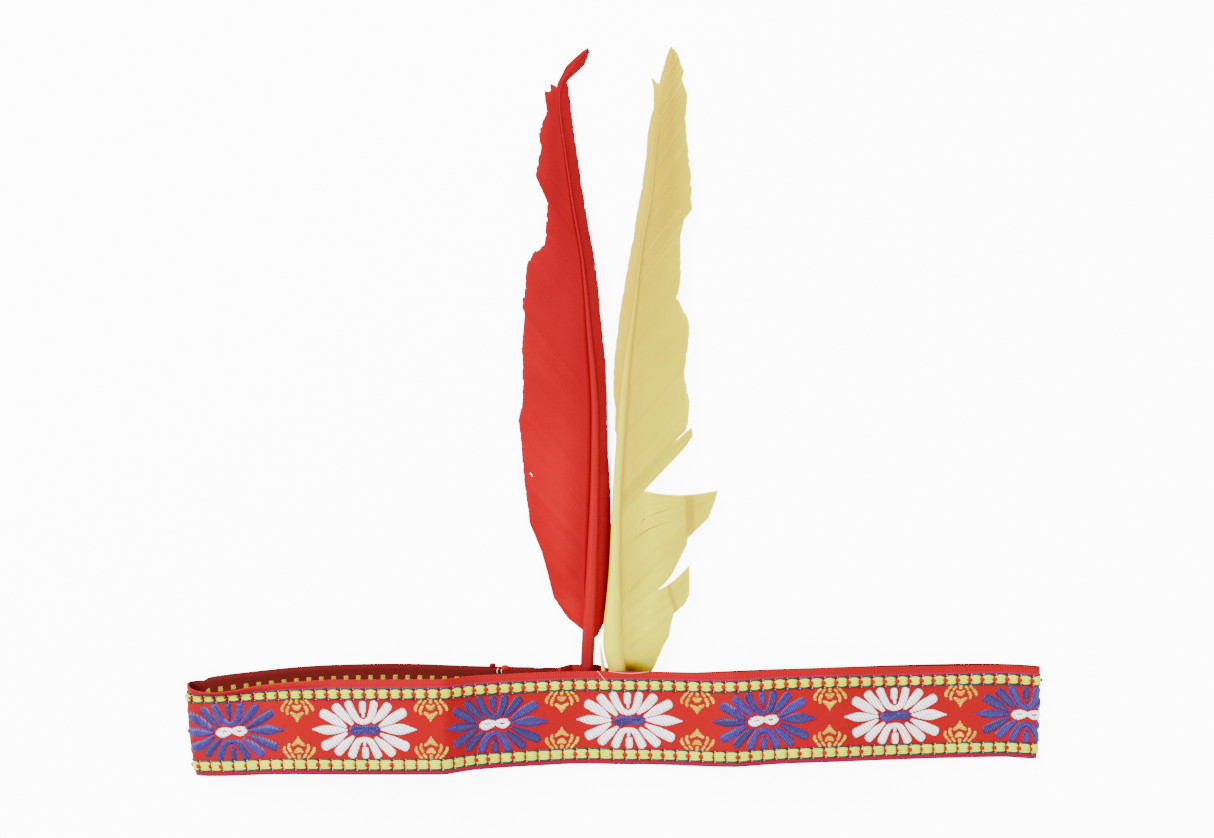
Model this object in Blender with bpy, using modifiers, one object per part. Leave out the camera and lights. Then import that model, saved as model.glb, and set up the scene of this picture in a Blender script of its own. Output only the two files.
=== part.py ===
"""A feathered headband, lying flattened on a table. Metres, +Z up.

A strip of woven ribbon is joined into one loop, which lies folded flat. +X runs along the band and +Y up
the feathers. The table is Z = 0, and the origin is on it below the quills, at mid-width of the band.
A red and a yellow quill feather stand in the loop behind its front layer, with a cloth patch behind them.
"""

from collections import namedtuple

import bmesh
import bpy
import numpy as np

# Clearance that touching pieces keep
GAP = 0.0003

# The ribbon and its loop
BAND_WIDTH = 0.0300
BAND_WALL = 0.0010
LEFT_REACH = 0.1380
RIGHT_REACH = 0.1395
CREST_HEIGHT = 0.0205
LEFT_FOLD_HEIGHT = 0.0060
RIGHT_FOLD_HEIGHT = 0.0030
FOLD_ROUNDNESS = 0.7
SEAM_PLACE = 0.0365
SEAM_LAP = 0.0100
SEAM_RAMP = 0.0055

# The patch behind the quills
PATCH_WALL = 0.0010
PATCH_OVERHANG = 0.0010
PATCH_INSET = 0.0020
PATCH_SLOPE = 0.0040
PATCH_SIDE_ROOM = 0.0014
PATCH_FLARE = 0.0035

# The feathers
FOOT_INSET = 0.0020
FEATHER_ARCH = 0.0030
VANE_THICKNESS = 0.0008
VANE_DROOP = 0.45
RED_LENGTH = 0.2320
RED_PLACE = -0.0100
RED_QUILL = 0.0043
RED_SWEEP = 0.0120
RED_WIDE_VANE = 0.0250
RED_NARROW_VANE = 0.0058
YELLOW_LENGTH = 0.2325
YELLOW_PLACE = 0.0008
YELLOW_QUILL = 0.0062
YELLOW_SWEEP = 0.0180
YELLOW_WIDE_VANE = 0.0240
YELLOW_NARROW_VANE = 0.0045

# How finely each form is cut
BAND_STEP = 0.0060
BAND_ACROSS = 4
FOLD_STEPS = 8
SHAFT_STEPS = 26
LOCK_STEP = 0.0045
RAMP_STEPS = 4
LAP_STEPS = 3
PATCH_ACROSS = 6
PATCH_UP_STEPS = 2
BEVEL_STEPS = 2
# Shares of a barb at which a vane is cut. Torn locks part at the middle one.
BARB_SHARES = (0.0, 0.12, 0.40, 0.70, 1.0)
# Shares of the patch's flare at which its turned-up sides are cut
FLARE_SHARES = (1.0, 0.6, 0.25, 0.08)
SHARP_ANGLE = 0.6
SAME_POINT = 1e-5
# Least rise between neighbouring barbs, and the step for reading a lean, as shares of a feather
ROOT_RISE = 1e-4
LEAN_SHARE = 0.004

# Colours, as linear red, green and blue
RIBBON_RED = (0.62, 0.035, 0.030)
PATCH_RED = (0.40, 0.015, 0.012)
FEATHER_RED = (0.60, 0.022, 0.020)
SHAFT_RED = (0.66, 0.030, 0.028)
FEATHER_YELLOW = (0.88, 0.68, 0.09)
SHAFT_YELLOW = (0.98, 0.86, 0.12)

# Heights of the stack under the front layer: the back layer, the patch and a quill on it
PATCH_LEVEL = BAND_WALL + GAP
QUILL_LEVEL = PATCH_LEVEL + PATCH_WALL + GAP
OVER_RED = QUILL_LEVEL + RED_QUILL + GAP
OVER_YELLOW = QUILL_LEVEL + YELLOW_QUILL + GAP

# The front layer, from its left fold to its right one. Each row: its place as a share of that side's reach,
# the height of the cloth above the back layer, its shift towards the feathers as a share of the width,
# how much higher the feather-side edge stands as a share of that height, and whether it is creased there.
FrontRow = namedtuple("FrontRow", "along height shift flare creased")
FRONT = (
    FrontRow(-0.920, 0.415 * CREST_HEIGHT, -0.161, 0.47, False),
    FrontRow(-0.824, 0.610 * CREST_HEIGHT, -0.088, 0.18, False),
    FrontRow(-0.723, 0.850 * CREST_HEIGHT, -0.020, 0.05, False),
    FrontRow(-0.559, 0.950 * CREST_HEIGHT, -0.012, 0.00, False),
    FrontRow(-0.390, 1.000 * CREST_HEIGHT, -0.007, 0.00, True),
    FrontRow(-0.312, 0.660 * CREST_HEIGHT, -0.010, 0.00, False),
    FrontRow(-0.154, 0.430 * CREST_HEIGHT, -0.003, 0.00, False),
    FrontRow(RED_PLACE / LEFT_REACH, OVER_RED, 0.000, 0.00, False),
    FrontRow(YELLOW_PLACE / RIGHT_REACH, OVER_YELLOW, 0.007, 0.00, False),
    FrontRow(0.060, 0.450 * CREST_HEIGHT, 0.007, 0.00, False),
    FrontRow(0.204, 0.620 * CREST_HEIGHT, 0.015, 0.00, False),
    FrontRow(0.274, 0.830 * CREST_HEIGHT, 0.043, 0.00, True),
    FrontRow(0.388, 0.780 * CREST_HEIGHT, 0.070, 0.00, False),
    FrontRow(0.487, 0.730 * CREST_HEIGHT, 0.077, 0.00, False),
    FrontRow(0.614, 0.460 * CREST_HEIGHT, 0.053, 0.00, False),
    FrontRow(0.753, 0.245 * CREST_HEIGHT, 0.037, 0.00, False),
    FrontRow(0.908, 0.170 * CREST_HEIGHT, 0.040, 0.00, False),
)

# The back layer, flat on the table: its place along the reach and its shift towards the feathers
BackRow = namedtuple("BackRow", "along shift")
BACK = (
    BackRow(-1.000, -0.180),
    BackRow(-0.903, -0.087),
    BackRow(-0.673, 0.010),
    BackRow(-0.522, 0.037),
    BackRow(-0.322, 0.010),
    BackRow(-0.107, -0.013),
    BackRow(0.084, -0.070),
    BackRow(0.403, -0.020),
    BackRow(0.877, 0.037),
    BackRow(1.000, 0.017),
)
LEFT_SLANT = -0.06
RIGHT_SLANT = 0.04
LEFT_FLARE = 0.62

# A shaft from foot to tip: the height up the feather, the sideways place as a share of the sweep, and the
# thickness as a share of the quill
ShaftRow = namedtuple("ShaftRow", "high aside thick")
RED_SHAFT = (
    ShaftRow(0.000, 0.000, 0.50),
    ShaftRow(0.030, 0.020, 0.92),
    ShaftRow(0.145, 0.100, 1.00),
    ShaftRow(0.270, 0.220, 0.84),
    ShaftRow(0.400, 0.300, 0.66),
    ShaftRow(0.467, 0.310, 0.61),
    ShaftRow(0.616, 0.115, 0.42),
    ShaftRow(0.695, -0.035, 0.31),
    ShaftRow(0.766, -0.270, 0.27),
    ShaftRow(0.846, -0.500, 0.25),
    ShaftRow(0.926, -0.675, 0.23),
    ShaftRow(0.946, -0.640, 0.22),
    ShaftRow(0.963, -0.445, 0.20),
    ShaftRow(1.000, 0.110, 0.14),
)
YELLOW_SHAFT = (
    ShaftRow(0.000, 0.000, 0.50),
    ShaftRow(0.030, -0.020, 0.92),
    ShaftRow(0.154, -0.068, 1.00),
    ShaftRow(0.220, -0.060, 0.74),
    ShaftRow(0.270, -0.044, 0.55),
    ShaftRow(0.345, -0.017, 0.46),
    ShaftRow(0.458, 0.075, 0.46),
    ShaftRow(0.536, 0.159, 0.40),
    ShaftRow(0.616, 0.295, 0.27),
    ShaftRow(0.715, 0.454, 0.21),
    ShaftRow(0.786, 0.620, 0.18),
    ShaftRow(0.860, 0.717, 0.15),
    ShaftRow(1.000, 1.000, 0.10),
)

# The angle between barb and shaft, up the feather, in degrees
AngleRow = namedtuple("AngleRow", "high degrees")
WIDE_BARBS = (
    AngleRow(0.10, 62),
    AngleRow(0.25, 47),
    AngleRow(0.50, 40),
    AngleRow(0.80, 30),
    AngleRow(1.00, 20),
)
NARROW_BARBS = (AngleRow(0.10, 45), AngleRow(0.40, 28), AngleRow(1.0, 18))

# The edge of a vane, from its foot up: the height up the feather and the reach as a share of the vane's width.
# Split marks how deep the vane is torn open between the lock before it and the lock after it.
EdgeRow = namedtuple("EdgeRow", "high out")
Split = namedtuple("Split", "high out")
RED_WIDE_LOCKS = (
    (
        EdgeRow(0.178, 0.09),
        EdgeRow(0.195, 0.29),
        EdgeRow(0.223, 0.48),
        EdgeRow(0.284, 0.65),
        EdgeRow(0.327, 0.83),
        EdgeRow(0.388, 0.92),
        EdgeRow(0.446, 0.97),
        EdgeRow(0.471, 1.00),
        EdgeRow(0.498, 0.94),
        EdgeRow(0.572, 0.90),
        EdgeRow(0.622, 0.82),
        EdgeRow(0.633, 0.85),
        EdgeRow(0.691, 0.73),
        EdgeRow(0.707, 0.65),
        EdgeRow(0.719, 0.46),
        EdgeRow(0.778, 0.33),
        EdgeRow(0.817, 0.43),
        EdgeRow(0.856, 0.32),
        EdgeRow(0.878, 0.31),
        EdgeRow(0.910, 0.17),
        EdgeRow(0.937, 0.20),
        EdgeRow(0.960, 0.07),
        EdgeRow(0.974, 0.11),
        EdgeRow(0.995, 0.04),
    ),
)
RED_NARROW_LOCKS = (
    (
        EdgeRow(0.170, 0.50),
        EdgeRow(0.193, 0.90),
        EdgeRow(0.293, 1.00),
        EdgeRow(0.383, 0.82),
        EdgeRow(0.432, 0.67),
        EdgeRow(0.476, 0.63),
        EdgeRow(0.556, 0.71),
        EdgeRow(0.725, 0.63),
        EdgeRow(0.885, 0.56),
        EdgeRow(0.920, 0.44),
        EdgeRow(0.954, 0.22),
        EdgeRow(0.977, 0.48),
        EdgeRow(0.995, 0.18),
    ),
)
YELLOW_NARROW_LOCKS = (
    (
        EdgeRow(0.457, 0.42),
        EdgeRow(0.489, 0.50),
        EdgeRow(0.510, 0.72),
        EdgeRow(0.557, 0.90),
        EdgeRow(0.616, 0.95),
        EdgeRow(0.675, 0.83),
        EdgeRow(0.728, 0.69),
        EdgeRow(0.766, 0.80),
        EdgeRow(0.846, 0.59),
        EdgeRow(0.876, 0.68),
        EdgeRow(0.918, 0.56),
        EdgeRow(0.946, 0.79),
        EdgeRow(0.956, 1.00),
        EdgeRow(0.961, 0.33),
        EdgeRow(0.995, 0.16),
    ),
)
YELLOW_WIDE_LOCKS = (
    (
        EdgeRow(0.119, 0.47),
        EdgeRow(0.147, 0.65),
        EdgeRow(0.167, 0.76),
        EdgeRow(0.199, 0.82),
        EdgeRow(0.213, 0.97),
        EdgeRow(0.225, 1.02),
        EdgeRow(0.266, 1.01),
    ),
    Split(0.229, 0.52),
    (
        EdgeRow(0.262, 0.81),
        EdgeRow(0.294, 0.96),
        EdgeRow(0.306, 0.98),
        EdgeRow(0.334, 1.25),
        EdgeRow(0.355, 1.32),
        EdgeRow(0.371, 1.36),
    ),
    Split(0.371, 0.345),
    (
        EdgeRow(0.436, 0.90),
        EdgeRow(0.448, 0.97),
        EdgeRow(0.460, 0.95),
    ),
    Split(0.432, 0.66),
    (
        EdgeRow(0.457, 0.87),
        EdgeRow(0.472, 0.90),
        EdgeRow(0.496, 0.89),
        EdgeRow(0.539, 0.78),
        EdgeRow(0.553, 0.80),
        EdgeRow(0.600, 0.78),
        EdgeRow(0.613, 0.74),
        EdgeRow(0.643, 0.56),
        EdgeRow(0.671, 0.58),
        EdgeRow(0.728, 0.50),
        EdgeRow(0.758, 0.50),
        EdgeRow(0.768, 0.58),
        EdgeRow(0.828, 0.49),
        EdgeRow(0.895, 0.35),
        EdgeRow(0.931, 0.32),
        EdgeRow(0.953, 0.21),
        EdgeRow(0.965, 0.22),
        EdgeRow(0.995, 0.07),
    ),
)

Feather = namedtuple("Feather", "place length quill sweep shaft")
RED = Feather(RED_PLACE, RED_LENGTH, RED_QUILL, RED_SWEEP, RED_SHAFT)
YELLOW = Feather(YELLOW_PLACE, YELLOW_LENGTH, YELLOW_QUILL, YELLOW_SWEEP, YELLOW_SHAFT)

# A vane: the side of the shaft it grows on, its width, its barbs' angles, the height up the feather at which
# its lowest barb grows, and its locks
Vane = namedtuple("Vane", "side width angles start locks")
RED_WIDE = Vane(-1, RED_WIDE_VANE, WIDE_BARBS, 0.158, RED_WIDE_LOCKS)
RED_NARROW = Vane(1, RED_NARROW_VANE, NARROW_BARBS, 0.158, RED_NARROW_LOCKS)
YELLOW_NARROW = Vane(-1, YELLOW_NARROW_VANE, NARROW_BARBS, 0.437, YELLOW_NARROW_LOCKS)
YELLOW_WIDE = Vane(1, YELLOW_WIDE_VANE, WIDE_BARBS, 0.115, YELLOW_WIDE_LOCKS)


def clear_scene():
    """Remove what the scene holds, so that only the headband is left."""
    for obj in list(bpy.data.objects):
        bpy.data.objects.remove(obj, do_unlink=True)


def surface(name, colour, roughness):
    """Make a plain material of one colour."""
    material = bpy.data.materials.new(name)
    material.use_nodes = True
    shader = material.node_tree.nodes["Principled BSDF"]
    shader.inputs["Base Color"].default_value = (*colour, 1.0)
    shader.inputs["Roughness"].default_value = roughness
    shader.inputs["Metallic"].default_value = 0.0
    material.diffuse_color = (*colour, 1.0)
    return material


def add_object(name, data, collection, material):
    """Put a mesh or curve into the collection as a named object."""
    obj = bpy.data.objects.new(name, data)
    collection.objects.link(obj)
    data.materials.append(material)
    return obj


def smooth(places, values, at):
    """Read a smooth curve through the given points, which never swings past them."""
    places = np.asarray(places, float)
    values = np.asarray(values, float)
    steps = np.diff(places)
    slopes = np.diff(values) / steps
    tangents = np.zeros(len(places))
    same_way = slopes[:-1] * slopes[1:] > 0
    shared = np.where(same_way, slopes[:-1] + slopes[1:], 1)
    tangents[1:-1] = np.where(same_way, 2 * slopes[:-1] * slopes[1:] / shared, 0)
    tangents[0] = slopes[0]
    tangents[-1] = slopes[-1]
    at = np.clip(at, places[0], places[-1])
    left = np.clip(np.searchsorted(places, at, side="right") - 1, 0, len(steps) - 1)
    t = (at - places[left]) / steps[left]
    start = values[left] * (1 + 2 * t) * (1 - t) ** 2 + tangents[left] * steps[left] * t * (1 - t) ** 2
    end = values[left + 1] * t**2 * (3 - 2 * t) + tangents[left + 1] * steps[left] * t**2 * (t - 1)
    return start + end


def reach_of(along):
    """Turn a share of the reach into a place along X."""
    return along * (LEFT_REACH if along < 0 else RIGHT_REACH)


def sheet_object(name, rows, wall, collection, material):
    """Make a sheet from rows of points and give it its thickness, half to each side."""
    mesh = bpy.data.meshes.new(name)
    shape = bmesh.new()
    made = [[shape.verts.new(point) for point in row] for row in rows]
    for row, following in zip(made, made[1:]):
        for k in range(len(row) - 1):
            shape.faces.new((row[k], following[k], following[k + 1], row[k + 1]))
    bmesh.ops.recalc_face_normals(shape, faces=shape.faces)
    shape.to_mesh(mesh)
    shape.free()
    mesh.shade_smooth()
    mesh.set_sharp_from_angle(angle=SHARP_ANGLE)
    obj = add_object(name, mesh, collection, material)
    thicken(obj, wall)
    return obj


def thicken(obj, wall):
    """Give an open sheet its wall."""
    solidify = obj.modifiers.new("Wall", "SOLIDIFY")
    solidify.thickness = wall
    solidify.offset = 0.0
    solidify.use_even_offset = True


Station = namedtuple("Station", "x height shift flare slant")


def slant_at(x):
    """Say how far the cross lines of the band lean along it, which dies out away from the folds."""
    if x < 0:
        return LEFT_SLANT * (x / LEFT_REACH) ** 2
    return RIGHT_SLANT * (x / RIGHT_REACH) ** 2


def back_station(x, height):
    """Make a station of the back layer."""
    shift = float(smooth([reach_of(row.along) for row in BACK], [row.shift for row in BACK], x))
    return Station(x, height, shift, 0.0, slant_at(x))


def fold_stations(side, reach, fold_height, flare):
    """Round a folded end, from the back layer up to the front one."""
    depth = FOLD_ROUNDNESS * fold_height
    centre = side * (reach - depth - BAND_WALL / 2)
    shift = BACK[0].shift if side < 0 else BACK[-1].shift
    made = []
    for turn in np.linspace(-np.pi / 2, np.pi / 2, FOLD_STEPS + 1):
        x = centre + side * depth * np.cos(turn)
        height = fold_height * (1 + np.sin(turn)) / 2
        made.append(Station(x, height, shift, flare, slant_at(x)))
    return made


def front_stations(left_fold, right_fold):
    """Follow the front layer from the top of the left fold to the top of the right one."""
    start = FrontRow(left_fold.x, left_fold.height, left_fold.shift, left_fold.flare, False)
    end = FrontRow(right_fold.x, right_fold.height, right_fold.shift, right_fold.flare, False)
    rows = [start]
    rows += [row._replace(along=reach_of(row.along)) for row in FRONT]
    rows += [end]
    breaks = [0] + [k for k, row in enumerate(rows) if row.creased] + [len(rows) - 1]
    made = []
    for first, last in zip(breaks, breaks[1:]):
        run = rows[first : last + 1]
        places = [row.along for row in run]
        count = int(np.ceil((places[-1] - places[0]) / BAND_STEP))
        count = max(count, 2) * 2
        for x in np.linspace(places[0], places[-1], count + 1)[1:]:
            height = smooth(places, [row.height for row in run], x)
            shift = smooth(places, [row.shift for row in run], x)
            flare = smooth(places, [row.flare for row in run], x)
            made.append(Station(x, float(height), float(shift), float(flare), slant_at(x)))
    return made[:-1]


def both_folds():
    """The stations of the left and of the right fold."""
    left_fold = fold_stations(-1, LEFT_REACH, LEFT_FOLD_HEIGHT, LEFT_FLARE)
    right_fold = fold_stations(1, RIGHT_REACH, RIGHT_FOLD_HEIGHT, 0.0)
    return left_fold, right_fold


def band_stations():
    """Follow the ribbon from its end under the lap, round the loop, to its end over the lap."""
    seam = -SEAM_PLACE
    under_end = seam + SEAM_LAP
    over_lap = BAND_WALL + GAP
    left_fold, right_fold = both_folds()
    made = []
    count = int(np.ceil((under_end - left_fold[0].x) / BAND_STEP))
    for x in np.linspace(under_end, left_fold[0].x, count + 1)[:-1]:
        made.append(back_station(x, 0.0))
    made += left_fold
    made += front_stations(left_fold[-1], right_fold[-1])
    made += right_fold[::-1]
    ramp_foot = under_end + GAP + SEAM_RAMP
    count = int(np.ceil((right_fold[0].x - ramp_foot) / BAND_STEP))
    for x in np.linspace(right_fold[0].x, ramp_foot, count + 1)[1:]:
        made.append(back_station(x, 0.0))
    for share in np.linspace(0, 1, RAMP_STEPS + 1)[1:]:
        rise = over_lap * share**2 * (3 - 2 * share)
        made.append(back_station(ramp_foot - SEAM_RAMP * share, rise))
    for x in np.linspace(under_end, seam, LAP_STEPS + 1)[1:]:
        made.append(back_station(x, over_lap))
    return made


def band_row(station):
    """Points across the ribbon at one station, lower edge to feather-side edge."""
    half = BAND_WIDTH / 2
    rise = station.flare * station.height
    reach = np.sqrt(max(half**2 - rise**2, 0))
    row = []
    for share in np.linspace(-1, 1, BAND_ACROSS + 1):
        x = station.x + station.slant * half * share
        y = station.shift * BAND_WIDTH + reach * share
        row.append((x, y, BAND_WALL / 2 + station.height + rise * share))
    return row


def front_height(x):
    """Height of the front layer's middle surface above the table."""
    left_fold, right_fold = both_folds()
    stations = front_stations(left_fold[-1], right_fold[-1])
    height = np.interp(x, [station.x for station in stations], [station.height for station in stations])
    return float(height) + BAND_WALL / 2


def patch_rows():
    """Follow the patch from under the front layer, down behind the quills and up to the front layer again."""
    low = PATCH_LEVEL + PATCH_WALL / 2
    room = PATCH_SIDE_ROOM + PATCH_WALL
    left = RED_PLACE - RED_QUILL / 2 - room
    right = YELLOW_PLACE + YELLOW_QUILL / 2 + room
    under_front = BAND_WALL / 2 + GAP + PATCH_WALL / 2
    left_top = front_height(left - PATCH_FLARE) - under_front
    right_top = front_height(right + PATCH_FLARE) - under_front
    path = []
    for share in FLARE_SHARES:
        path.append((left - PATCH_FLARE * share, low + (left_top - low) * share))
    for share in np.linspace(0, 1, PATCH_ACROSS + 1):
        path.append((left + (right - left) * share, low))
    for share in FLARE_SHARES[::-1]:
        path.append((right + PATCH_FLARE * share, low + (right_top - low) * share))
    foot = PATCH_INSET - BAND_WIDTH / 2
    slope_start = RED_PLACE + RED_QUILL
    rows = []
    for x, z in path:
        slope = PATCH_SLOPE * np.clip((x - slope_start) / (right - slope_start), 0, 1)
        top = BAND_WIDTH / 2 + PATCH_OVERHANG - slope
        rows.append([(x, y, z) for y in np.linspace(foot, top, PATCH_UP_STEPS + 1)])
    return rows


def shaft_x(feather, high):
    """Sideways place of the shaft at a height up the feather."""
    asides = smooth([row.high for row in feather.shaft], [row.aside for row in feather.shaft], high)
    return feather.place + feather.sweep * float(asides)


def shaft_at(feather, high):
    """Place and radius of the shaft at a height up the feather."""
    y = -BAND_WIDTH / 2 + FOOT_INSET + feather.length * high
    thick = smooth([row.high for row in feather.shaft], [row.thick for row in feather.shaft], high)
    return shaft_x(feather, high), y, shaft_height(feather, high), feather.quill / 2 * float(thick)


def shaft_side(feather, high):
    """Reach along X from the middle of the shaft to where its vane begins, more where the shaft leans."""
    aside = shaft_x(feather, high + LEAN_SHARE) - shaft_x(feather, high - LEAN_SHARE)
    lean = aside / (2 * LEAN_SHARE * feather.length)
    radius = shaft_at(feather, high)[3]
    return (radius + GAP) * np.sqrt(1 + lean**2)


def shaft_height(feather, high):
    """Height of the shaft's middle: level between the layers of the band, then bowed down to its tip."""
    seat = QUILL_LEVEL + feather.quill / 2
    tip = VANE_THICKNESS / 2
    edge = (BAND_WIDTH - FOOT_INSET) / feather.length
    t = np.clip((high - edge) / (1 - edge), 0, 1)
    return float(tip + (seat - tip) * (1 - t) + 4 * FEATHER_ARCH * t * (1 - t))


def shaft_object(name, feather, collection, material):
    """Draw a quill and its shaft as one tapering tube."""
    curve = bpy.data.curves.new(name, "CURVE")
    curve.dimensions = "3D"
    curve.bevel_depth = 1.0
    curve.bevel_resolution = BEVEL_STEPS
    curve.use_fill_caps = True
    highs = np.linspace(0, 1, SHAFT_STEPS + 1)
    highs = np.unique(np.concatenate([highs, [row.high for row in feather.shaft]]))
    spline = curve.splines.new("POLY")
    spline.points.add(len(highs) - 1)
    for point, high in zip(spline.points, highs):
        x, y, z, radius = shaft_at(feather, high)
        point.co = (x, y, z, 1.0)
        point.radius = radius
    return add_object(name, curve, collection, material)


def barb_root(feather, vane, tip):
    """Height on the shaft from which the barb that ends at this tip grows."""
    degrees = np.interp(tip.high, [row.high for row in vane.angles], [row.degrees for row in vane.angles])
    return tip.high - tip.out * vane.width / np.tan(np.radians(degrees)) / feather.length


def barb_line(root, tip, split):
    """Points along one barb, as heights and reaches. It passes the split's inner end where it borders one."""
    root_point = np.array([root, 0.0])
    tip_point = np.array([tip.high, tip.out])
    if split is None:
        return np.array([root_point + (tip_point - root_point) * share for share in BARB_SHARES])
    middle = np.array([split.high, split.out])
    turn = BARB_SHARES[len(BARB_SHARES) // 2]
    line = []
    for share in BARB_SHARES:
        if share <= turn:
            line.append(root_point + (middle - root_point) * share / turn)
        else:
            line.append(middle + (tip_point - middle) * (share - turn) / (1 - turn))
    return np.array(line)


def lock_lines(feather, vane, rows, before, after):
    """All barbs of one lock: those of its table rows, and evenly spaced ones between them."""
    roots = [max(barb_root(feather, vane, row), vane.start) for row in rows]
    if before is not None:
        roots[0] = barb_root(feather, vane, before)
    if after is not None:
        roots[-1] = barb_root(feather, vane, after)
        roots = list(np.minimum(roots, roots[-1]))
    roots = np.maximum.accumulate(roots)
    if after is None:
        roots = roots + np.arange(len(rows)) * ROOT_RISE
    lines = []
    for k, row in enumerate(rows):
        split = before if k == 0 else after if k == len(rows) - 1 else None
        line = barb_line(roots[k], row, split)
        if lines:
            apart = np.abs(line - lines[-1]).max(axis=0) * (feather.length, vane.width)
            count = max(int(np.ceil(apart.max() / LOCK_STEP)), 1)
            previous = lines[-1]
            for share in np.linspace(0, 1, count + 1)[1:]:
                lines.append(previous + (line - previous) * share)
        else:
            lines.append(line)
    return lines


def vane_point(feather, vane, high, out, first):
    """Place of a point of the vane: it leaves the shaft's side and droops towards its edge."""
    x, y, z, _ = shaft_at(feather, high)
    inner = shaft_side(feather, high)
    reach = inner if first else max(out * vane.width, inner + out * GAP)
    droop = VANE_DROOP * min(out, 1.0) ** 2
    return x + vane.side * reach, y, (z - VANE_THICKNESS / 2) * (1 - droop)


def vane_object(name, feather, vane, collection, material):
    """Make a vane of locks that share one strip along the shaft and part where the vane is torn."""
    shape = bmesh.new()
    for k, rows in enumerate(vane.locks):
        if isinstance(rows, Split):
            continue
        before = vane.locks[k - 1] if k > 0 else None
        after = vane.locks[k + 1] if k + 1 < len(vane.locks) else None
        grid = []
        for line in lock_lines(feather, vane, rows, before, after):
            points = []
            for column, (high, out) in enumerate(line):
                points.append(shape.verts.new(vane_point(feather, vane, high, out, column == 0)))
            grid.append(points)
        for line, following in zip(grid, grid[1:]):
            for column in range(len(line) - 1):
                corners = (line[column], line[column + 1], following[column + 1], following[column])
                shape.faces.new(corners if vane.side > 0 else corners[::-1])
    bmesh.ops.remove_doubles(shape, verts=shape.verts, dist=SAME_POINT)
    raised = bmesh.ops.extrude_face_region(shape, geom=shape.faces[:])
    raised = [item for item in raised["geom"] if isinstance(item, bmesh.types.BMVert)]
    bmesh.ops.translate(shape, verts=raised, vec=(0, 0, VANE_THICKNESS))
    bmesh.ops.recalc_face_normals(shape, faces=shape.faces)
    mesh = bpy.data.meshes.new(name)
    shape.to_mesh(mesh)
    shape.free()
    mesh.shade_smooth()
    mesh.set_sharp_from_angle(angle=SHARP_ANGLE)
    return add_object(name, mesh, collection, material)


def build_band(collection):
    """The ribbon loop and the patch behind the quills."""
    rows = [band_row(station) for station in band_stations()]
    sheet_object("ribbon", rows, BAND_WALL, collection, surface("woven ribbon", RIBBON_RED, 0.85))
    cloth = surface("patch cloth", PATCH_RED, 0.9)
    sheet_object("quill_patch", patch_rows(), PATCH_WALL, collection, cloth)


def build_red_feather(collection):
    """The red feather: its shaft, the wide vane on its left and the narrow one on its right."""
    shaft_object("red_quill", RED, collection, surface("red shaft", SHAFT_RED, 0.4))
    vane_object("red_vane_wide", RED, RED_WIDE, collection, surface("red vane", FEATHER_RED, 0.6))
    vane_object("red_vane_narrow", RED, RED_NARROW, collection, surface("red narrow vane", FEATHER_RED, 0.6))


def build_yellow_feather(collection):
    """The yellow feather: its shaft, the narrow vane on its left and the wide, torn one on its right."""
    shaft_object("yellow_quill", YELLOW, collection, surface("yellow shaft", SHAFT_YELLOW, 0.4))
    narrow = surface("yellow narrow vane", FEATHER_YELLOW, 0.6)
    wide = surface("yellow vane", FEATHER_YELLOW, 0.6)
    vane_object("yellow_vane_narrow", YELLOW, YELLOW_NARROW, collection, narrow)
    vane_object("yellow_vane_wide", YELLOW, YELLOW_WIDE, collection, wide)


def build():
    """Build the whole headband."""
    clear_scene()
    collection = bpy.data.collections.new("feathered_headband")
    bpy.context.scene.collection.children.link(collection)
    build_band(collection)
    build_red_feather(collection)
    build_yellow_feather(collection)


build()
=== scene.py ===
from collections import namedtuple

import bpy
import numpy as np
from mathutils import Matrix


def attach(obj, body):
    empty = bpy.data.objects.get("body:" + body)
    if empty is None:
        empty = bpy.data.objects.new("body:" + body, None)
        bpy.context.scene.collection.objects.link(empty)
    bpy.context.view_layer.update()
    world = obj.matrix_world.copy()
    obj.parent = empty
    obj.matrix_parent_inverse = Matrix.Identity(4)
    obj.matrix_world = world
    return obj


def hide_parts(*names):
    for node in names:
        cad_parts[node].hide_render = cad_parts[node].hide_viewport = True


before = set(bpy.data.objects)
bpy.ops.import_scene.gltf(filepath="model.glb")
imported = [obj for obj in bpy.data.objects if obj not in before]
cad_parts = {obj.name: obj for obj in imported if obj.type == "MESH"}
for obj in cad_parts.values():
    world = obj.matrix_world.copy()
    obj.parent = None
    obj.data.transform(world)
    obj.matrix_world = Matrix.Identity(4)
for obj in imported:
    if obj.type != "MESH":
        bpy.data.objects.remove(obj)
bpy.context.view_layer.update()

# %% [markdown]
# A dress-up headband with two feathers, lying flattened on a white table and seen from straight above. A
# woven ribbon is joined into a loop, and a red and a yellow quill feather stand behind its front layer. The
# real object is cloth, thread and dyed feather, so nearly everything here is made of many thin strands: the
# pattern on the ribbon is raised thread and each feather is several hundred barbs. This lesson models one
# strand or one barb at a time and then lays copies of it along short tables of shapes. The loop's path and
# the feathers' tables follow the solids to within 2 mm, so every finished piece falls on the solid that it
# stands for.

# %% Units and a few plain helpers
MM = 0.001
GAP = 0.3 * MM
rng = np.random.default_rng(7)


def linear(code):
    """Turn an sRGB hex colour into linear red, green, blue and alpha."""
    parts = [int(code[k : k + 2], 16) / 255 for k in (1, 3, 5)]
    colour = [part / 12.92 if part <= 0.04045 else ((part + 0.055) / 1.055) ** 2.4 for part in parts]
    return (*colour, 1.0)


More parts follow.
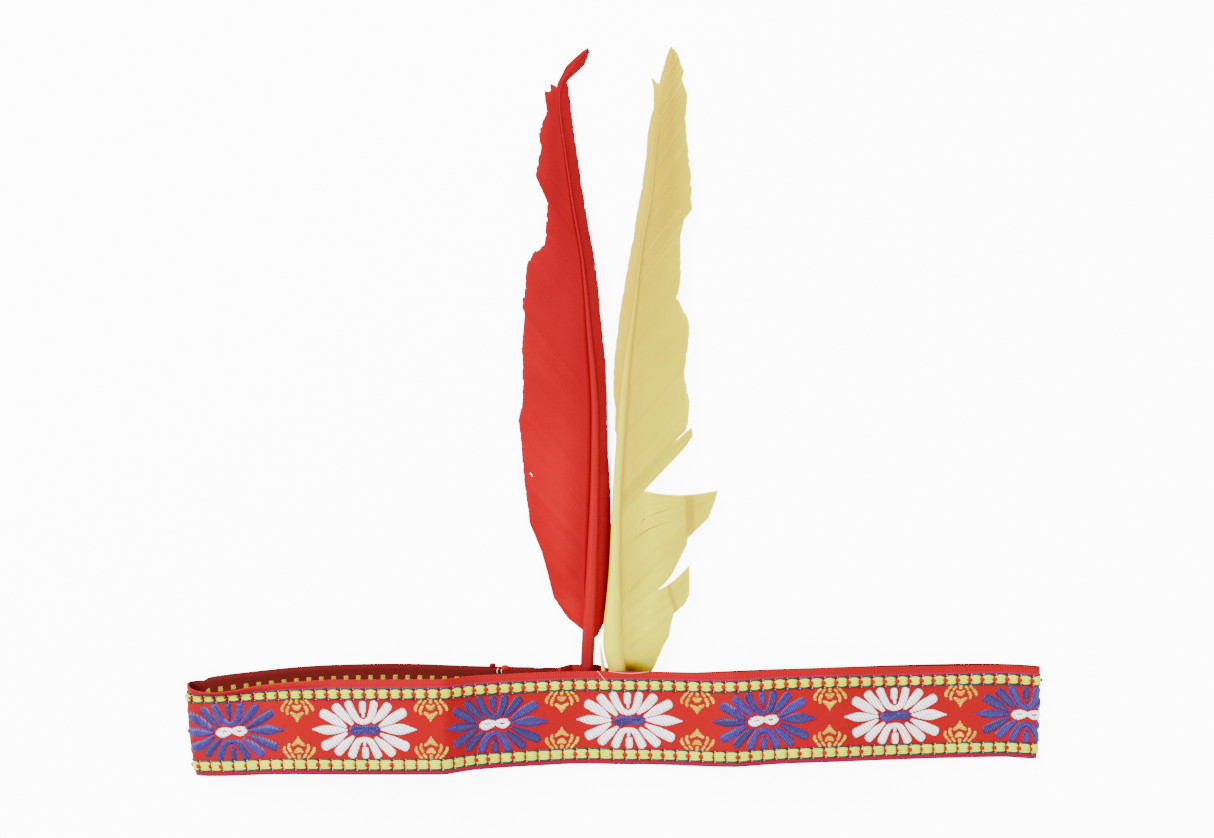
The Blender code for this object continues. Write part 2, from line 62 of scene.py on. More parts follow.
def smooth(places, values, at):
    """Read a smooth curve through the given points, which never swings past them."""
    places, values = np.asarray(places, float), np.asarray(values, float)
    steps = np.diff(places)
    slopes = np.diff(values) / steps
    same_way = slopes[:-1] * slopes[1:] > 0
    shared = np.where(same_way, slopes[:-1] + slopes[1:], 1)
    inner = np.where(same_way, 2 * slopes[:-1] * slopes[1:] / shared, 0)
    tangents = np.concatenate([slopes[:1], inner, slopes[-1:]])
    at = np.clip(at, places[0], places[-1])
    left = np.clip(np.searchsorted(places, at, side="right") - 1, 0, len(steps) - 1)
    t = (at - places[left]) / steps[left]
    start = values[left] * (1 + 2 * t) * (1 - t) ** 2 + tangents[left] * steps[left] * t * (1 - t) ** 2
    end = values[left + 1] * t**2 * (3 - 2 * t) + tangents[left + 1] * steps[left] * t**2 * (t - 1)
    return start + end


def table(kind, *rows):
    """A table with a named row for each tuple."""
    return tuple(kind(*row) for row in rows)


def read(rows, key, value, at):
    """Read a smooth curve of one column of a table over another."""
    return smooth([getattr(row, key) for row in rows], [getattr(row, value) for row in rows], at)


def lengths_along(points):
    """Say how far along a line of points each of them lies."""
    return np.concatenate([[0], np.cumsum(np.linalg.norm(np.diff(points, axis=0), axis=1))])


print("nodes in the frame:", sorted(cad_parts))

# %% [markdown]
# Materials. One helper adds a node with its settings and links, and one starts a material from the colour
# and gloss of the real finish. Everything after that is a handful of nodes for each finish, read from the
# piece's own UV map in metres, so that a thread keeps its real width wherever the cloth is folded.

# %% Helpers for materials
SHADER = "Principled BSDF"


def start_material(name, colour, roughness, gloss=0.5):
    """Start a material in one colour."""
    material = bpy.data.materials.new(name)
    material.use_nodes = True
    sockets = material.node_tree.nodes[SHADER].inputs
    sockets["Base Color"].default_value = linear(colour)
    sockets["Roughness"].default_value = roughness
    sockets["Specular IOR Level"].default_value = gloss
    return material


def add_node(material, kind, inputs=None, **settings):
    """Add a node, set its properties, and fill its inputs with values or with links to other nodes."""
    made = material.node_tree.nodes.new(kind)
    for key, value in settings.items():
        setattr(made, key, value)
    for key, value in (inputs or {}).items():
        if isinstance(value, bpy.types.NodeSocket):
            material.node_tree.links.new(value, made.inputs[key])
        else:
            made.inputs[key].default_value = value
    return made


def feed(material, socket, output):
    """Link an output to a socket of the material's shader."""
    material.node_tree.links.new(output, material.node_tree.nodes[SHADER].inputs[socket])


def reckon(material, operation, *values):
    """Work out a sum or a function of values."""
    return add_node(material, "ShaderNodeMath", dict(enumerate(values)), operation=operation).outputs[0]


def ramp(material, value, low, high, top=1.0):
    """Turn a value into 0 at the first place and the top at the second, held beyond both."""
    ends = {"Value": value, "From Min": low, "From Max": high, "To Max": top}
    return add_node(material, "ShaderNodeMapRange", ends).outputs[0]


def noise(material, place, scale, detail):
    """Soft noise, finer where the scale is larger."""
    spread = add_node(material, "ShaderNodeMapping", {"Vector": place, "Scale": scale})
    inputs = {"Vector": spread.outputs[0], "Scale": 1.0, "Detail": detail}
    return add_node(material, "ShaderNodeTexNoise", inputs).outputs[0]


def blend(material, factor, first, second):
    """Mix two colours, each given as a hex code or as another node's output."""
    first, second = (linear(colour) if isinstance(colour, str) else colour for colour in (first, second))
    mix = {0: factor, 6: first, 7: second}
    return add_node(material, "ShaderNodeMix", mix, data_type="RGBA").outputs[2]


def bump(material, height, distance, strength=1.0):
    """Raise the surface by a height map."""
    inputs = {"Height": height, "Distance": distance, "Strength": strength}
    feed(material, "Normal", add_node(material, "ShaderNodeBump", inputs).outputs["Normal"])


# %% [markdown]
# The camera looks straight down, as the photo does. Its height sets the perspective: the folded loop stands
# up to 21 mm off the table, and at 450 mm that makes its highest stretches about four percent wider in the
# picture, as the photo shows them. The light is one soft lamp from the upper left, a weaker one from the
# right, and a bright pale room. The photo's table is pure white and holds no shadow, so the paper glows,
# but only to the camera.

# %% Camera, floor and light
CAMERA_HEIGHT = 0.450
CAMERA_X = -2.5 * MM
CAMERA_Y = 96.7 * MM
PICTURE_WIDTH = 400.6 * MM
SENSOR = 36.0
FLOOR_SIZE = 6.0
FLOOR_DROP = 0.05 * MM
PAPER_GLOW = 9.0
ROOM_LIGHT = 1.35
WHITE = (1, 1, 1, 1)

eye = bpy.data.cameras.new("camera")
eye.sensor_width = SENSOR
eye.lens = SENSOR * CAMERA_HEIGHT / PICTURE_WIDTH
camera = bpy.data.objects.new("camera", eye)
camera.location = (CAMERA_X, CAMERA_Y, CAMERA_HEIGHT)
bpy.context.scene.collection.objects.link(camera)
bpy.context.scene.camera = camera

bpy.ops.object.select_all(action="DESELECT")
bpy.ops.mesh.primitive_plane_add(size=FLOOR_SIZE, location=(0, 0, -FLOOR_DROP))
floor = bpy.context.active_object
floor.name = "floor"
paper = start_material("matt white paper, lit from behind", "#FFFFFF", 0.9)
seen = add_node(paper, "ShaderNodeLightPath").outputs["Is Camera Ray"]
paper.node_tree.nodes[SHADER].inputs["Emission Color"].default_value = WHITE
feed(paper, "Emission Strength", reckon(paper, "MULTIPLY", seen, PAPER_GLOW))
floor.data.materials.append(paper)

Lamp = namedtuple("Lamp", "name place size power")
LAMPS = table(
    Lamp,
    ("key lamp", (-0.75, 0.75, 0.80), 0.6, 40.0),
    ("fill lamp", (0.80, -0.30, 0.90), 1.0, 14.0),
)
LIT_PLACE = (0, 0.08, 0)
for row in LAMPS:
    data = bpy.data.lights.new(row.name, "AREA")
    data.size = row.size
    data.energy = row.power
    lamp = bpy.data.objects.new(row.name, data)
    lamp.location = row.place
    aim = np.subtract(LIT_PLACE, row.place)
    tilt = np.arctan2(np.hypot(*aim[:2]), -aim[2])
    lamp.rotation_euler = (tilt, 0.0, np.arctan2(aim[1], aim[0]) - np.pi / 2)
    bpy.context.scene.collection.objects.link(lamp)

room = bpy.data.worlds.new("pale room")
room.use_nodes = True
room.node_tree.nodes["Background"].inputs["Color"].default_value = WHITE
room.node_tree.nodes["Background"].inputs["Strength"].default_value = ROOM_LIGHT
bpy.context.scene.world = room
print("lens", round(eye.lens, 2), "mm")

# %% [markdown]
# The ribbon's path. One strip, 575 mm long and 30 mm wide, starts under the lap in the back layer, runs
# left on the table, rises round the left fold, crosses the front and comes back round the right fold to end
# over the lap. The front layer isn't level: it stands on the quills and bulges at two soft creases. The
# path is that of the solid, cut finer, and at the left end it follows the photo a little more closely.

# %% Sizes of the loop
BAND_WIDTH = 30.0 * MM
BAND_WALL = 1.0 * MM
LEFT_REACH = 138.0 * MM
RIGHT_REACH = 139.5 * MM
CREST_HEIGHT = 20.5 * MM
LEFT_FOLD_HEIGHT = 6.0 * MM
RIGHT_FOLD_HEIGHT = 3.0 * MM
FOLD_ROUNDNESS = 0.7
LEFT_SLANT = -0.09
RIGHT_SLANT = 0.04
SEAM_PLACE = 36.5 * MM
SEAM_LAP = 10.0 * MM
SEAM_RAMP = 5.5 * MM
RAMP_STEPS = 6
PATCH_WALL = 1.0 * MM
RED_PLACE = -10.0 * MM
RED_QUILL = 4.3 * MM
YELLOW_PLACE = 0.8 * MM
YELLOW_QUILL = 6.2 * MM
PATCH_LEVEL = BAND_WALL + GAP
QUILL_LEVEL = PATCH_LEVEL + PATCH_WALL + GAP
OVER_RED = (QUILL_LEVEL + RED_QUILL + GAP) / CREST_HEIGHT
OVER_YELLOW = (QUILL_LEVEL + YELLOW_QUILL + GAP) / CREST_HEIGHT
STATION_STEP = 1.1 * MM
FOLD_STEPS = 28

# Places are shares of the reach to the fold on their side, heights are shares of the crest's height, and
# shifts up and down the picture are shares of the band's width
FrontRow = namedtuple("FrontRow", "along height shift creased", defaults=(False,))
FRONT = table(
    FrontRow,
    (-0.92, 0.415, -0.125), (-0.824, 0.61, -0.077), (-0.723, 0.85, -0.03), (-0.559, 0.95, -0.017),
    (-0.39, 1.0, -0.007, True), (-0.312, 0.66, -0.01), (-0.154, 0.43, -0.003),
    (RED_PLACE / LEFT_REACH, OVER_RED, 0.0), (YELLOW_PLACE / RIGHT_REACH, OVER_YELLOW, 0.007),
    (0.06, 0.45, 0.007), (0.204, 0.62, 0.015), (0.274, 0.83, 0.043, True), (0.388, 0.78, 0.07),
    (0.487, 0.73, 0.077), (0.614, 0.46, 0.053), (0.753, 0.245, 0.037), (0.908, 0.17, 0.04),
)
BackRow = namedtuple("BackRow", "along shift")
BACK = table(
    BackRow,
    (-1.0, -0.147), (-0.903, -0.075), (-0.673, 0.022), (-0.522, 0.037), (-0.322, 0.01), (-0.107, -0.013),
    (0.084, -0.07), (0.403, -0.02), (0.877, 0.037), (1.0, 0.017),
)

# %% The path's stations, from the end under the lap to the end over it
Station = namedtuple("Station", "x height shift slant")


def placed(rows):
    """Turn the rows' shares of the reach into places along X."""
    return [row._replace(along=row.along * (LEFT_REACH if row.along < 0 else RIGHT_REACH)) for row in rows]


def slant_at(x):
    """Say how far the cross lines of the band lean along it, which dies out away from the folds."""
    return LEFT_SLANT * (x / LEFT_REACH) ** 2 if x < 0 else RIGHT_SLANT * (x / RIGHT_REACH) ** 2


def back_station(x, height):
    """Make a station of the back layer."""
    return Station(x, height, float(read(placed(BACK), "along", "shift", x)), slant_at(x))


def back_run(start, end, height):
    """Stations of the back layer between two places, without the first one."""
    count = int(np.ceil(abs(end - start) / STATION_STEP))
    return [back_station(x, height) for x in np.linspace(start, end, count + 1)[1:]]


def fold_stations(side, reach, fold_height):
    """Round a folded end, from the back layer up to the front one."""
    depth = FOLD_ROUNDNESS * fold_height
    centre = side * (reach - depth - BAND_WALL / 2)
    shift = BACK[0].shift if side < 0 else BACK[-1].shift
    made = []
    for turn in np.linspace(-np.pi / 2, np.pi / 2, FOLD_STEPS + 1):
        x = centre + side * depth * np.cos(turn)
        made.append(Station(x, fold_height * (1 + np.sin(turn)) / 2, shift, slant_at(x)))
    return made


def front_stations(left_fold, right_fold):
    """Follow the front layer from the top of the left fold to the top of the right one."""
    start, end = (FrontRow(fold.x, fold.height, fold.shift) for fold in (left_fold, right_fold))
    rows = [start] + [row._replace(height=row.height * CREST_HEIGHT) for row in placed(FRONT)] + [end]
    breaks = [0] + [k for k, row in enumerate(rows) if row.creased] + [len(rows) - 1]
    made = []
    for first, last in zip(breaks, breaks[1:]):
        run = rows[first : last + 1]
        count = int(np.ceil((run[-1].along - run[0].along) / STATION_STEP))
        at = np.linspace(run[0].along, run[-1].along, count + 1)[1:]
        height, shift = (read(run, "along", column, at) for column in ("height", "shift"))
        made += [Station(*values, slant_at(values[0])) for values in zip(at, height, shift)]
    return made[:-1]


def band_stations():
    """Follow the whole ribbon."""
    under_end = SEAM_LAP - SEAM_PLACE
    over_lap = BAND_WALL + GAP
    ramp_foot = under_end + GAP + SEAM_RAMP
    left_fold = fold_stations(-1, LEFT_REACH, LEFT_FOLD_HEIGHT)
    right_fold = fold_stations(1, RIGHT_REACH, RIGHT_FOLD_HEIGHT)
    made = [back_station(under_end, 0.0)] + back_run(under_end, left_fold[0].x, 0.0)[:-1]
    made += left_fold + front_stations(left_fold[-1], right_fold[-1]) + right_fold[::-1]
    made += back_run(right_fold[0].x, ramp_foot, 0.0)
    for share in np.linspace(0, 1, RAMP_STEPS + 1)[1:]:
        made.append(back_station(ramp_foot - SEAM_RAMP * share, over_lap * share**2 * (3 - 2 * share)))
    return made + back_run(under_end, -SEAM_PLACE, over_lap)


PATH = np.array(band_stations())
PATH_LENGTHS = lengths_along(PATH[:, :2])
STRIP_LENGTH = float(PATH_LENGTHS[-1])
LEFT_FOLD_AT = float(PATH_LENGTHS[np.argmin(PATH[:, 0])])
RIGHT_FOLD_AT = float(PATH_LENGTHS[np.argmax(PATH[:, 0])])
ON_FRONT = (PATH_LENGTHS > LEFT_FOLD_AT) & (PATH_LENGTHS < RIGHT_FOLD_AT)
print("the strip is", round(STRIP_LENGTH / MM, 1), "mm long")

# %% [markdown]
# Laying flat things along the path. Everything on the ribbon is first modelled flat, as it comes off the
# loom: X runs along the strip, Y across it from its lower edge, and Z up from the middle of the cloth to
# the pattern side. One function then moves such points onto the folded loop. Real cloth isn't as regular as
# the path: the left fold is bowed, the front layer's upper edge curls up beside it, and the pattern gives a
# few millimetres where the cloth bends, so three small corrections follow what the photo shows. Under the
# loop the cloth lies on the table, so there the raised threads are pressed down until they stand no higher
# than the cloth's own wall.

# %% The left fold's bow and curl, and the pattern's easing
LEFT_BOW = 1.05 * MM
BOW_MIDDLE = 1.6
BOW_FADING = 8
CURL_FROM = 25.9 * MM
NUDGE = 0.35 * MM

# Places along X in millimetres, and the share of its width by which the edge is drawn in there
CurlRow = namedtuple("CurlRow", "x share")
CURL = table(
    CurlRow, (-138, 0.0), (-133, 0.45), (-127, 0.60), (-120, 0.50), (-114, 0.30), (-100, 0.10), (-90, 0.0)
)
# Places along the strip and how far the pattern is moved on there, in millimetres
EaseRow = namedtuple("EaseRow", "at by")
EASE = table(
    EaseRow,
    (0, 0), (104, 0), (118, -2.1), (126, -1.9), (134, -1.1), (142, 0.0), (152, 0.75), (162, 0.75),
    (194, 0.05), (206, -0.1), (255, 0.4), (275, 0.8), (291, 1.3), (311, 0.95), (325, 0.8), (343, 2.1),
    (357, 3.1), (375, 3.35), (396, 3.75), (555, 0), (580, 0),
)


# %% One function lays flat points along the folded loop
def band_place(along, across):
    """Points on the middle of the cloth, for places along and across the strip."""
    x, height, shift, slant = (np.interp(along, PATH_LENGTHS, PATH[:, k]) for k in range(4))
    share = 2 * across / BAND_WIDTH - 1
    curled = np.maximum(across - CURL_FROM, 0)
    beside_fold = (along > LEFT_FOLD_AT) & (x < CURL[-1].x * MM)
    curl = np.where(beside_fold, read(CURL, "x", "share", x / MM), 0)
    y = (shift + share / 2) * BAND_WIDTH - curled * curl
    z = BAND_WALL / 2 + height + curled * np.sqrt(1 - (1 - curl) ** 2)
    bow = LEFT_BOW * (BOW_MIDDLE - share**2) * np.maximum(-x / LEFT_REACH, 0) ** BOW_FADING
    return np.stack([x + slant * BAND_WIDTH / 2 * share - bow, y, z], axis=-1)


def lay(points, eased=True):
    """Move flat points onto the loop, those of the pattern eased along it."""
    along, across, up = np.moveaxis(np.asarray(points, float), -1, 0)
    if eased:
        along = along + read(EASE, "at", "by", along / MM) * MM
    ahead = band_place(along + NUDGE, across) - band_place(along - NUDGE, across)
    aside = band_place(along, across + NUDGE) - band_place(along, across - NUDGE)
    outward = np.cross(ahead, aside)
    outward /= np.linalg.norm(outward, axis=-1, keepdims=True)
    under = (along < LEFT_FOLD_AT) | (along > RIGHT_FOLD_AT)
    up = np.where(under, np.clip(up, -BAND_WALL / 2, BAND_WALL / 2), up)
    return band_place(along, across) + outward * up[..., None]


# %% [markdown]
# Most of the headband is one small shape many times over. Such a shape is modelled once, as a grid or a
# ball of few faces, and its points are copied to every place in one mesh. Round strands are drawn as curves
# with a radius at each point and then turned into meshes. The cloths are grids that get a wall.


# %% Helpers that add a grid, a cloth, copies of a shape, or round strands
def put(obj, name, materials, slot, *nodes):
    """Name a finished piece, give it its materials, and hang it on the part's one body."""
    obj.name = name
    obj.data.name = name
    for material in materials:
        obj.data.materials.append(material)
    obj.data.shade_smooth()
    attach(obj, "root")
    if nodes:
        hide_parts(*nodes)
    print(name, len(obj.data.polygons), "faces")
    return obj


def add_grid(steps_along, steps_across):
    """A grid in the unit square, and its vertices as an array."""
    bpy.ops.object.select_all(action="DESELECT")
    steps = {"x_subdivisions": steps_along, "y_subdivisions": steps_across}
    bpy.ops.mesh.primitive_grid_add(**steps, size=1.0, calc_uvs=False)
    grid = bpy.context.active_object
    return grid, np.array([vertex.co[:] for vertex in grid.data.vertices])


def cloth(grid, name, spots, places, thickness, finishes, slot, node):
    """Make a cloth of a grid: its flat places become its UV map, its points move, and it gets a wall."""
    mesh = grid.data
    corners = np.zeros(len(mesh.loops), np.int32)
    mesh.loops.foreach_get("vertex_index", corners)
    mesh.uv_layers.new(name="flat").data.foreach_set("uv", spots[corners].reshape(-1))
    mesh.vertices.foreach_set("co", places.reshape(-1))
    mesh.update()
    for finish in finishes:
        mesh.materials.append(finish)
    wall = grid.modifiers.new("wall", "SOLIDIFY")
    wall.thickness = thickness
    wall.offset = 0.0
    wall.material_offset = len(finishes) - 1
    bpy.ops.object.modifier_apply(modifier="wall")
    return put(grid, name, (), slot, node)


def template_of(shape):
    """The shape's vertices as an array and its faces as lists of indices. The shape itself is removed."""
    points = np.array([vertex.co[:] for vertex in shape.data.vertices])
    faces = [list(face.vertices) for face in shape.data.polygons]
    bpy.data.objects.remove(shape, do_unlink=True)
    return points, faces


def joined(name, faces, points, marks, spots, material, slot, *nodes):
    """One piece with a template's faces once for each block of points, and a mark for each block."""
    count, size = points.shape[:2]
    starts = np.cumsum([0] + [len(face) for face in faces[:-1]])
    corners = np.concatenate(faces)
    all_starts = starts + len(corners) * np.arange(count)[:, None]
    all_corners = (corners + size * np.arange(count)[:, None]).reshape(-1)
    mesh = bpy.data.meshes.new(name)
    mesh.vertices.add(count * size)
    mesh.vertices.foreach_set("co", points.reshape(-1))
    mesh.loops.add(len(all_corners))
    mesh.loops.foreach_set("vertex_index", all_corners.astype(np.int32))
    mesh.polygons.add(count * len(faces))
    mesh.polygons.foreach_set("loop_start", all_starts.reshape(-1).astype(np.int32))
    mesh.update(calc_edges=True)
    mark = mesh.attributes.new("mark", "FLOAT", "POINT")
    mark.data.foreach_set("value", np.repeat(np.asarray(marks, np.float32), size))
    layer = mesh.uv_layers.new(name="flat")
    layer.data.foreach_set("uv", spots.reshape(-1, 2)[all_corners].astype(np.float32).reshape(-1))
    obj = bpy.data.objects.new(name, mesh)
    bpy.context.scene.collection.objects.link(obj)
    return put(obj, name, [material], slot, *nodes)


def drawn(name, strands, roundness, material, slot, *nodes):
    """Round strands as one piece, each drawn as a curve through its points with a radius at each of them."""
    bpy.ops.object.select_all(action="DESELECT")
    curve = bpy.data.curves.new(name, "CURVE")
    curve.dimensions = "3D"
    curve.bevel_depth = 1.0
    curve.bevel_resolution = roundness
    curve.use_fill_caps = True
    for points, radii in strands:
        spline = curve.splines.new("POLY")
        spline.points.add(len(points) - 1)
        for point, place, radius in zip(spline.points, points, radii):
            point.co = (*place, 1.0)
            point.radius = radius
    obj = bpy.data.objects.new(name, curve)
    bpy.context.scene.collection.objects.link(obj)
    obj.select_set(True)
    bpy.context.view_layer.objects.active = obj
    bpy.ops.object.convert(target="MESH")
    bpy.ops.object.mode_set(mode="EDIT")
    bpy.ops.mesh.select_all(action="SELECT")
    bpy.ops.mesh.remove_doubles(threshold=0.005 * MM)
    bpy.ops.mesh.normals_make_consistent(inside=False)
    bpy.ops.object.mode_set(mode="OBJECT")
    return put(bpy.context.active_object, name, [material], slot, *nodes)


# %% [markdown]
# The ribbon's ground is a satin-faced jacquard cloth about half a millimetre thick. It is a flat grid,
# moved onto the loop and thickened with Solidify, whose inner side takes a second material: the wrong side
# of the cloth, which is a darker, rougher red. The fine weave is too small to model, so it is bump: fine
# ribs across the plain edges, and a twill's slanted rows on the ground between the two rows of dashes.

# %% Where things lie across the ribbon, and the ground's colours
FLOWER_ACROSS = 14.15 * MM
TOP_DASHES = 25.5 * MM
BOTTOM_DASHES = 3.25 * MM
EDGING_REACH = 1.60 * MM
INNER_LOW = BOTTOM_DASHES + EDGING_REACH
INNER_HIGH = TOP_DASHES - EDGING_REACH
SPECKS_ACROSS = TOP_DASHES + EDGING_REACH + 0.45 * MM
LOWER_SELVEDGE = 0.8 * MM
CLOTH_WALL = 0.5 * MM
CLOTH_TOP = CLOTH_WALL / 2
RIB_SPACING = 0.55 * MM
TWILL_SPACING = 0.60 * MM
SPECK_SPACING = 0.67 * MM
WEFT_SPACING = 0.80 * MM
RED_GROUND = "#9C000C"
RED_TWILL = "#80040C"
EDGE_PINK = "#96104C"
EDGE_DARK = "#7C0A34"
WRONG_RED = "#5E0F0D"
WRONG_DARK = "#440A0A"


# %% Materials of the ground, right side and wrong side
def flat_axes(material):
    """The two values of the piece's own UV map: on the ribbon, the metres along it and across it."""
    spot = add_node(material, "ShaderNodeUVMap", uv_map="flat")
    return add_node(material, "ShaderNodeSeparateXYZ", {"Vector": spot.outputs["UV"]}).outputs[:2]


def thread_rows(material, along, spacing, slant=0.0, across=None):
    """Rounded rows of thread at a real spacing, from 0 between threads to 1 on them."""
    value = along if across is None else reckon(material, "MULTIPLY_ADD", across, slant, along)
    turns = reckon(material, "MULTIPLY", value, np.pi / spacing)
    return reckon(material, "ABSOLUTE", reckon(material, "SINE", turns))


def band_mask(material, across, low, high, soft):
    """1 between two places and 0 outside them, with soft ends."""
    away = reckon(material, "ABSOLUTE", reckon(material, "SUBTRACT", across, (low + high) / 2))
    half = (high - low) / 2
    return ramp(material, away, half + soft, half - soft)


def ground_material():
    """Polyester satin ribbon, woven, with fine ribs at its edges and a slanted twill in the middle."""
    material = start_material("red satin-faced polyester ribbon", RED_GROUND, 0.6, 0.06)
    along, across = flat_axes(material)
    ribs = thread_rows(material, along, RIB_SPACING)
    twill = thread_rows(material, along, TWILL_SPACING, 1.0, across)
    inner = band_mask(material, across, INNER_LOW, INNER_HIGH, 0.1 * MM)
    plain = band_mask(material, across, LOWER_SELVEDGE, BAND_WIDTH + 1.0 * MM, 0.5 * MM)
    beside = band_mask(material, across, SPECKS_ACROSS - 0.3 * MM, SPECKS_ACROSS + 0.3 * MM, 0.25 * MM)
    specks = reckon(material, "MULTIPLY", beside, thread_rows(material, along, SPECK_SPACING))
    grain = add_node(material, "ShaderNodeMix", {0: inner, 2: ribs, 3: twill}, data_type="FLOAT").outputs[0]
    ground = blend(material, grain, RED_TWILL, RED_GROUND)
    edge = blend(material, grain, EDGE_DARK, EDGE_PINK)
    outer = blend(material, plain, edge, ground)
    feed(material, "Base Color", blend(material, specks, outer, EDGE_PINK))
    bump(material, grain, 0.06 * MM)
    return material


def wrong_side_material():
    """The ribbon's wrong side: matt, dark red, with the ends of the weft in short rows."""
    material = start_material("wrong side of the woven ribbon", WRONG_RED, 0.8, 0.1)
    along, across = flat_axes(material)
    rows = thread_rows(material, along, WEFT_SPACING, 0.5, across)
    feed(material, "Base Color", blend(material, rows, WRONG_DARK, WRONG_RED))
    bump(material, rows, 0.08 * MM)
    return material


# %% The ribbon's ground
GRID_STEP = 1.15 * MM
GRID_ACROSS = 16
grid, unit = add_grid(int(STRIP_LENGTH / GRID_STEP), GRID_ACROSS)
flat = (unit + (0.5, 0.5, 0)) * (STRIP_LENGTH, BAND_WIDTH, 1)
finishes = (ground_material(), wrong_side_material())
places = lay(flat, eased=False)
ground = cloth(grid, "ribbon_cloth", flat[:, :2], places, CLOTH_WALL, finishes, "woven_ribbon", "ribbon")
inside = [face for face in ground.data.polygons if face.material_index == 1]
facing = np.mean([face.normal.z for face in inside if face.center.z > LEFT_FOLD_HEIGHT])
print("the wrong side of the front layer faces", "down" if facing < 0 else "up")

# %% [markdown]
# Raised floats. A flower petal on such a ribbon is a bundle of glossy threads that lies loose on the cloth
# and swells like a little cushion. Each petal is therefore given as a short chain of round spots, in
# millimetres from the flower's centre, and one strip, a plain grid, is laid along every chain: its middle
# follows the spots, its width is theirs, and it is domed across and rounded at both ends. The fine threads
# are too small to model, so they are slanted lines in the material.

# %% Tables of the flower and of the half lotus
Spot = namedtuple("Spot", "along across radius")


def chain(*spots):
    """A chain of round spots, from rows of along, across and radius in millimetres."""
    return tuple(Spot(*(value * MM for value in spot)) for spot in spots)


PETALS = (
    chain((-0.4, 8.05, 1.1), (-0.4, 6.35, 1.05)),
    chain((-0.2, 4.95, 0.5), (-0.2, 4.35, 0.4)),
    chain((-4.9, 8.1, 1.25), (-3.8, 5.8, 1.2), (-2.3, 3.45, 1.05), (-0.2, 2.5, 0.85), (1.8, 3.45, 1.05),
          (2.8, 5.8, 1.2), (3.3, 8.1, 1.25)),
    chain((-8.8, 7.0, 1.4), (-6.7, 4.8, 1.35), (-4.0, 2.05, 0.6)),
    chain((-12.8, 5.0, 1.5), (-10.0, 3.45, 1.5), (-6.1, 1.1, 0.5)),
    chain((-16.7, 0.25, 0.2), (-12.2, 0.05, 1.45), (-10.0, 0.0, 1.3), (-5.8, 0.0, 0.4)),
    chain((7.6, 7.2, 1.45), (5.9, 5.1, 1.35), (3.3, 2.55, 0.6)),
    chain((12.4, 5.3, 1.5), (9.6, 3.75, 1.5), (5.2, 1.35, 0.5)),
    chain((17.0, 0.1, 0.2), (11.6, 0.2, 1.7), (8.6, 0.2, 1.25), (5.7, 0.3, 0.4)),
    chain((-12.6, -4.9, 1.5), (-9.8, -3.55, 1.4), (-5.9, -1.1, 0.5)),
    chain((-8.4, -6.6, 1.4), (-6.4, -4.6, 1.3), (-3.8, -2.3, 0.6)),
    chain((-4.1, -7.6, 1.35), (-3.0, -5.2, 1.2), (-1.9, -3.45, 1.0), (0.1, -2.9, 0.75), (1.7, -3.45, 1.0),
          (3.2, -5.7, 1.2), (4.2, -7.7, 1.35)),
    chain((0.2, -7.85, 1.1), (0.2, -6.3, 1.05)),
    chain((0.0, -4.6, 0.5), (0.0, -4.1, 0.45)),
    chain((8.7, -7.0, 1.4), (6.5, -5.0, 1.35), (3.9, -2.65, 0.6)),
    chain((13.2, -5.1, 1.5), (10.2, -3.75, 1.45), (5.6, -1.4, 0.5)),
)
HEART_BED = (chain((-3.4, 0.00, 1.35), (3.4, 0.05, 1.35)),)
HEART = (
    chain((-4.1, -0.2, 0.85), (-2.9, -0.85, 0.9), (-1.2, -0.5, 0.7), (0.4, 0.35, 0.62), (2.2, 1.0, 0.62),
          (3.8, 0.85, 0.7)),
    chain((-3.6, 0.55, 0.7), (-2.0, 0.95, 0.62), (-0.2, 0.65, 0.55), (1.4, -0.4, 0.62), (3.0, -0.85, 0.7),
          (4.3, 0.1, 0.75)),
)
LOTUS = (
    chain((0.05, 0.95, 0.52), (0.05, 0.4, 0.5)),
    chain((-1.1, 2.15, 0.42), (0.0, 2.75, 0.85), (1.1, 2.15, 0.42)),
    chain((-1.9, 4.35, 0.4), (-0.9, 4.95, 0.6), (0.0, 5.6, 0.85), (0.9, 4.95, 0.6), (1.9, 4.35, 0.4)),
    chain((0.0, 5.8, 0.8), (0.0, 7.0, 0.18)),
    chain((-3.1, 4.6, 0.38), (-3.3, 3.7, 0.46), (-2.7, 2.4, 0.46)),
    chain((-2.3, 1.45, 0.36), (-1.6, 0.55, 0.38)),
    chain((-4.7, 3.7, 0.34), (-4.9, 2.9, 0.46), (-4.3, 1.85, 0.46)),
    chain((-3.8, 1.1, 0.36), (-3.05, 0.45, 0.38)),
    chain((3.2, 4.4, 0.38), (3.35, 3.6, 0.46), (2.75, 2.35, 0.46)),
    chain((2.35, 1.4, 0.36), (1.65, 0.5, 0.38)),
    chain((5.2, 3.4, 0.4), (5.05, 2.7, 0.48), (4.4, 1.8, 0.46)),
    chain((3.85, 1.1, 0.36), (3.1, 0.45, 0.38)),
)

# %% One strip, laid along a chain
BLUNTNESS = 2.6
EVENNESS = 0.4
STRIP_NUDGE = 0.01 * MM
END_ROOM = 0.3 * MM


def strip_template(steps_along, steps_across):
    """A grid from 0 to 1 along X and from -1 to 1 across it."""
    points, faces = template_of(add_grid(steps_along, steps_across)[0])
    return points[:, 0] + 0.5, 2 * points[:, 1], faces


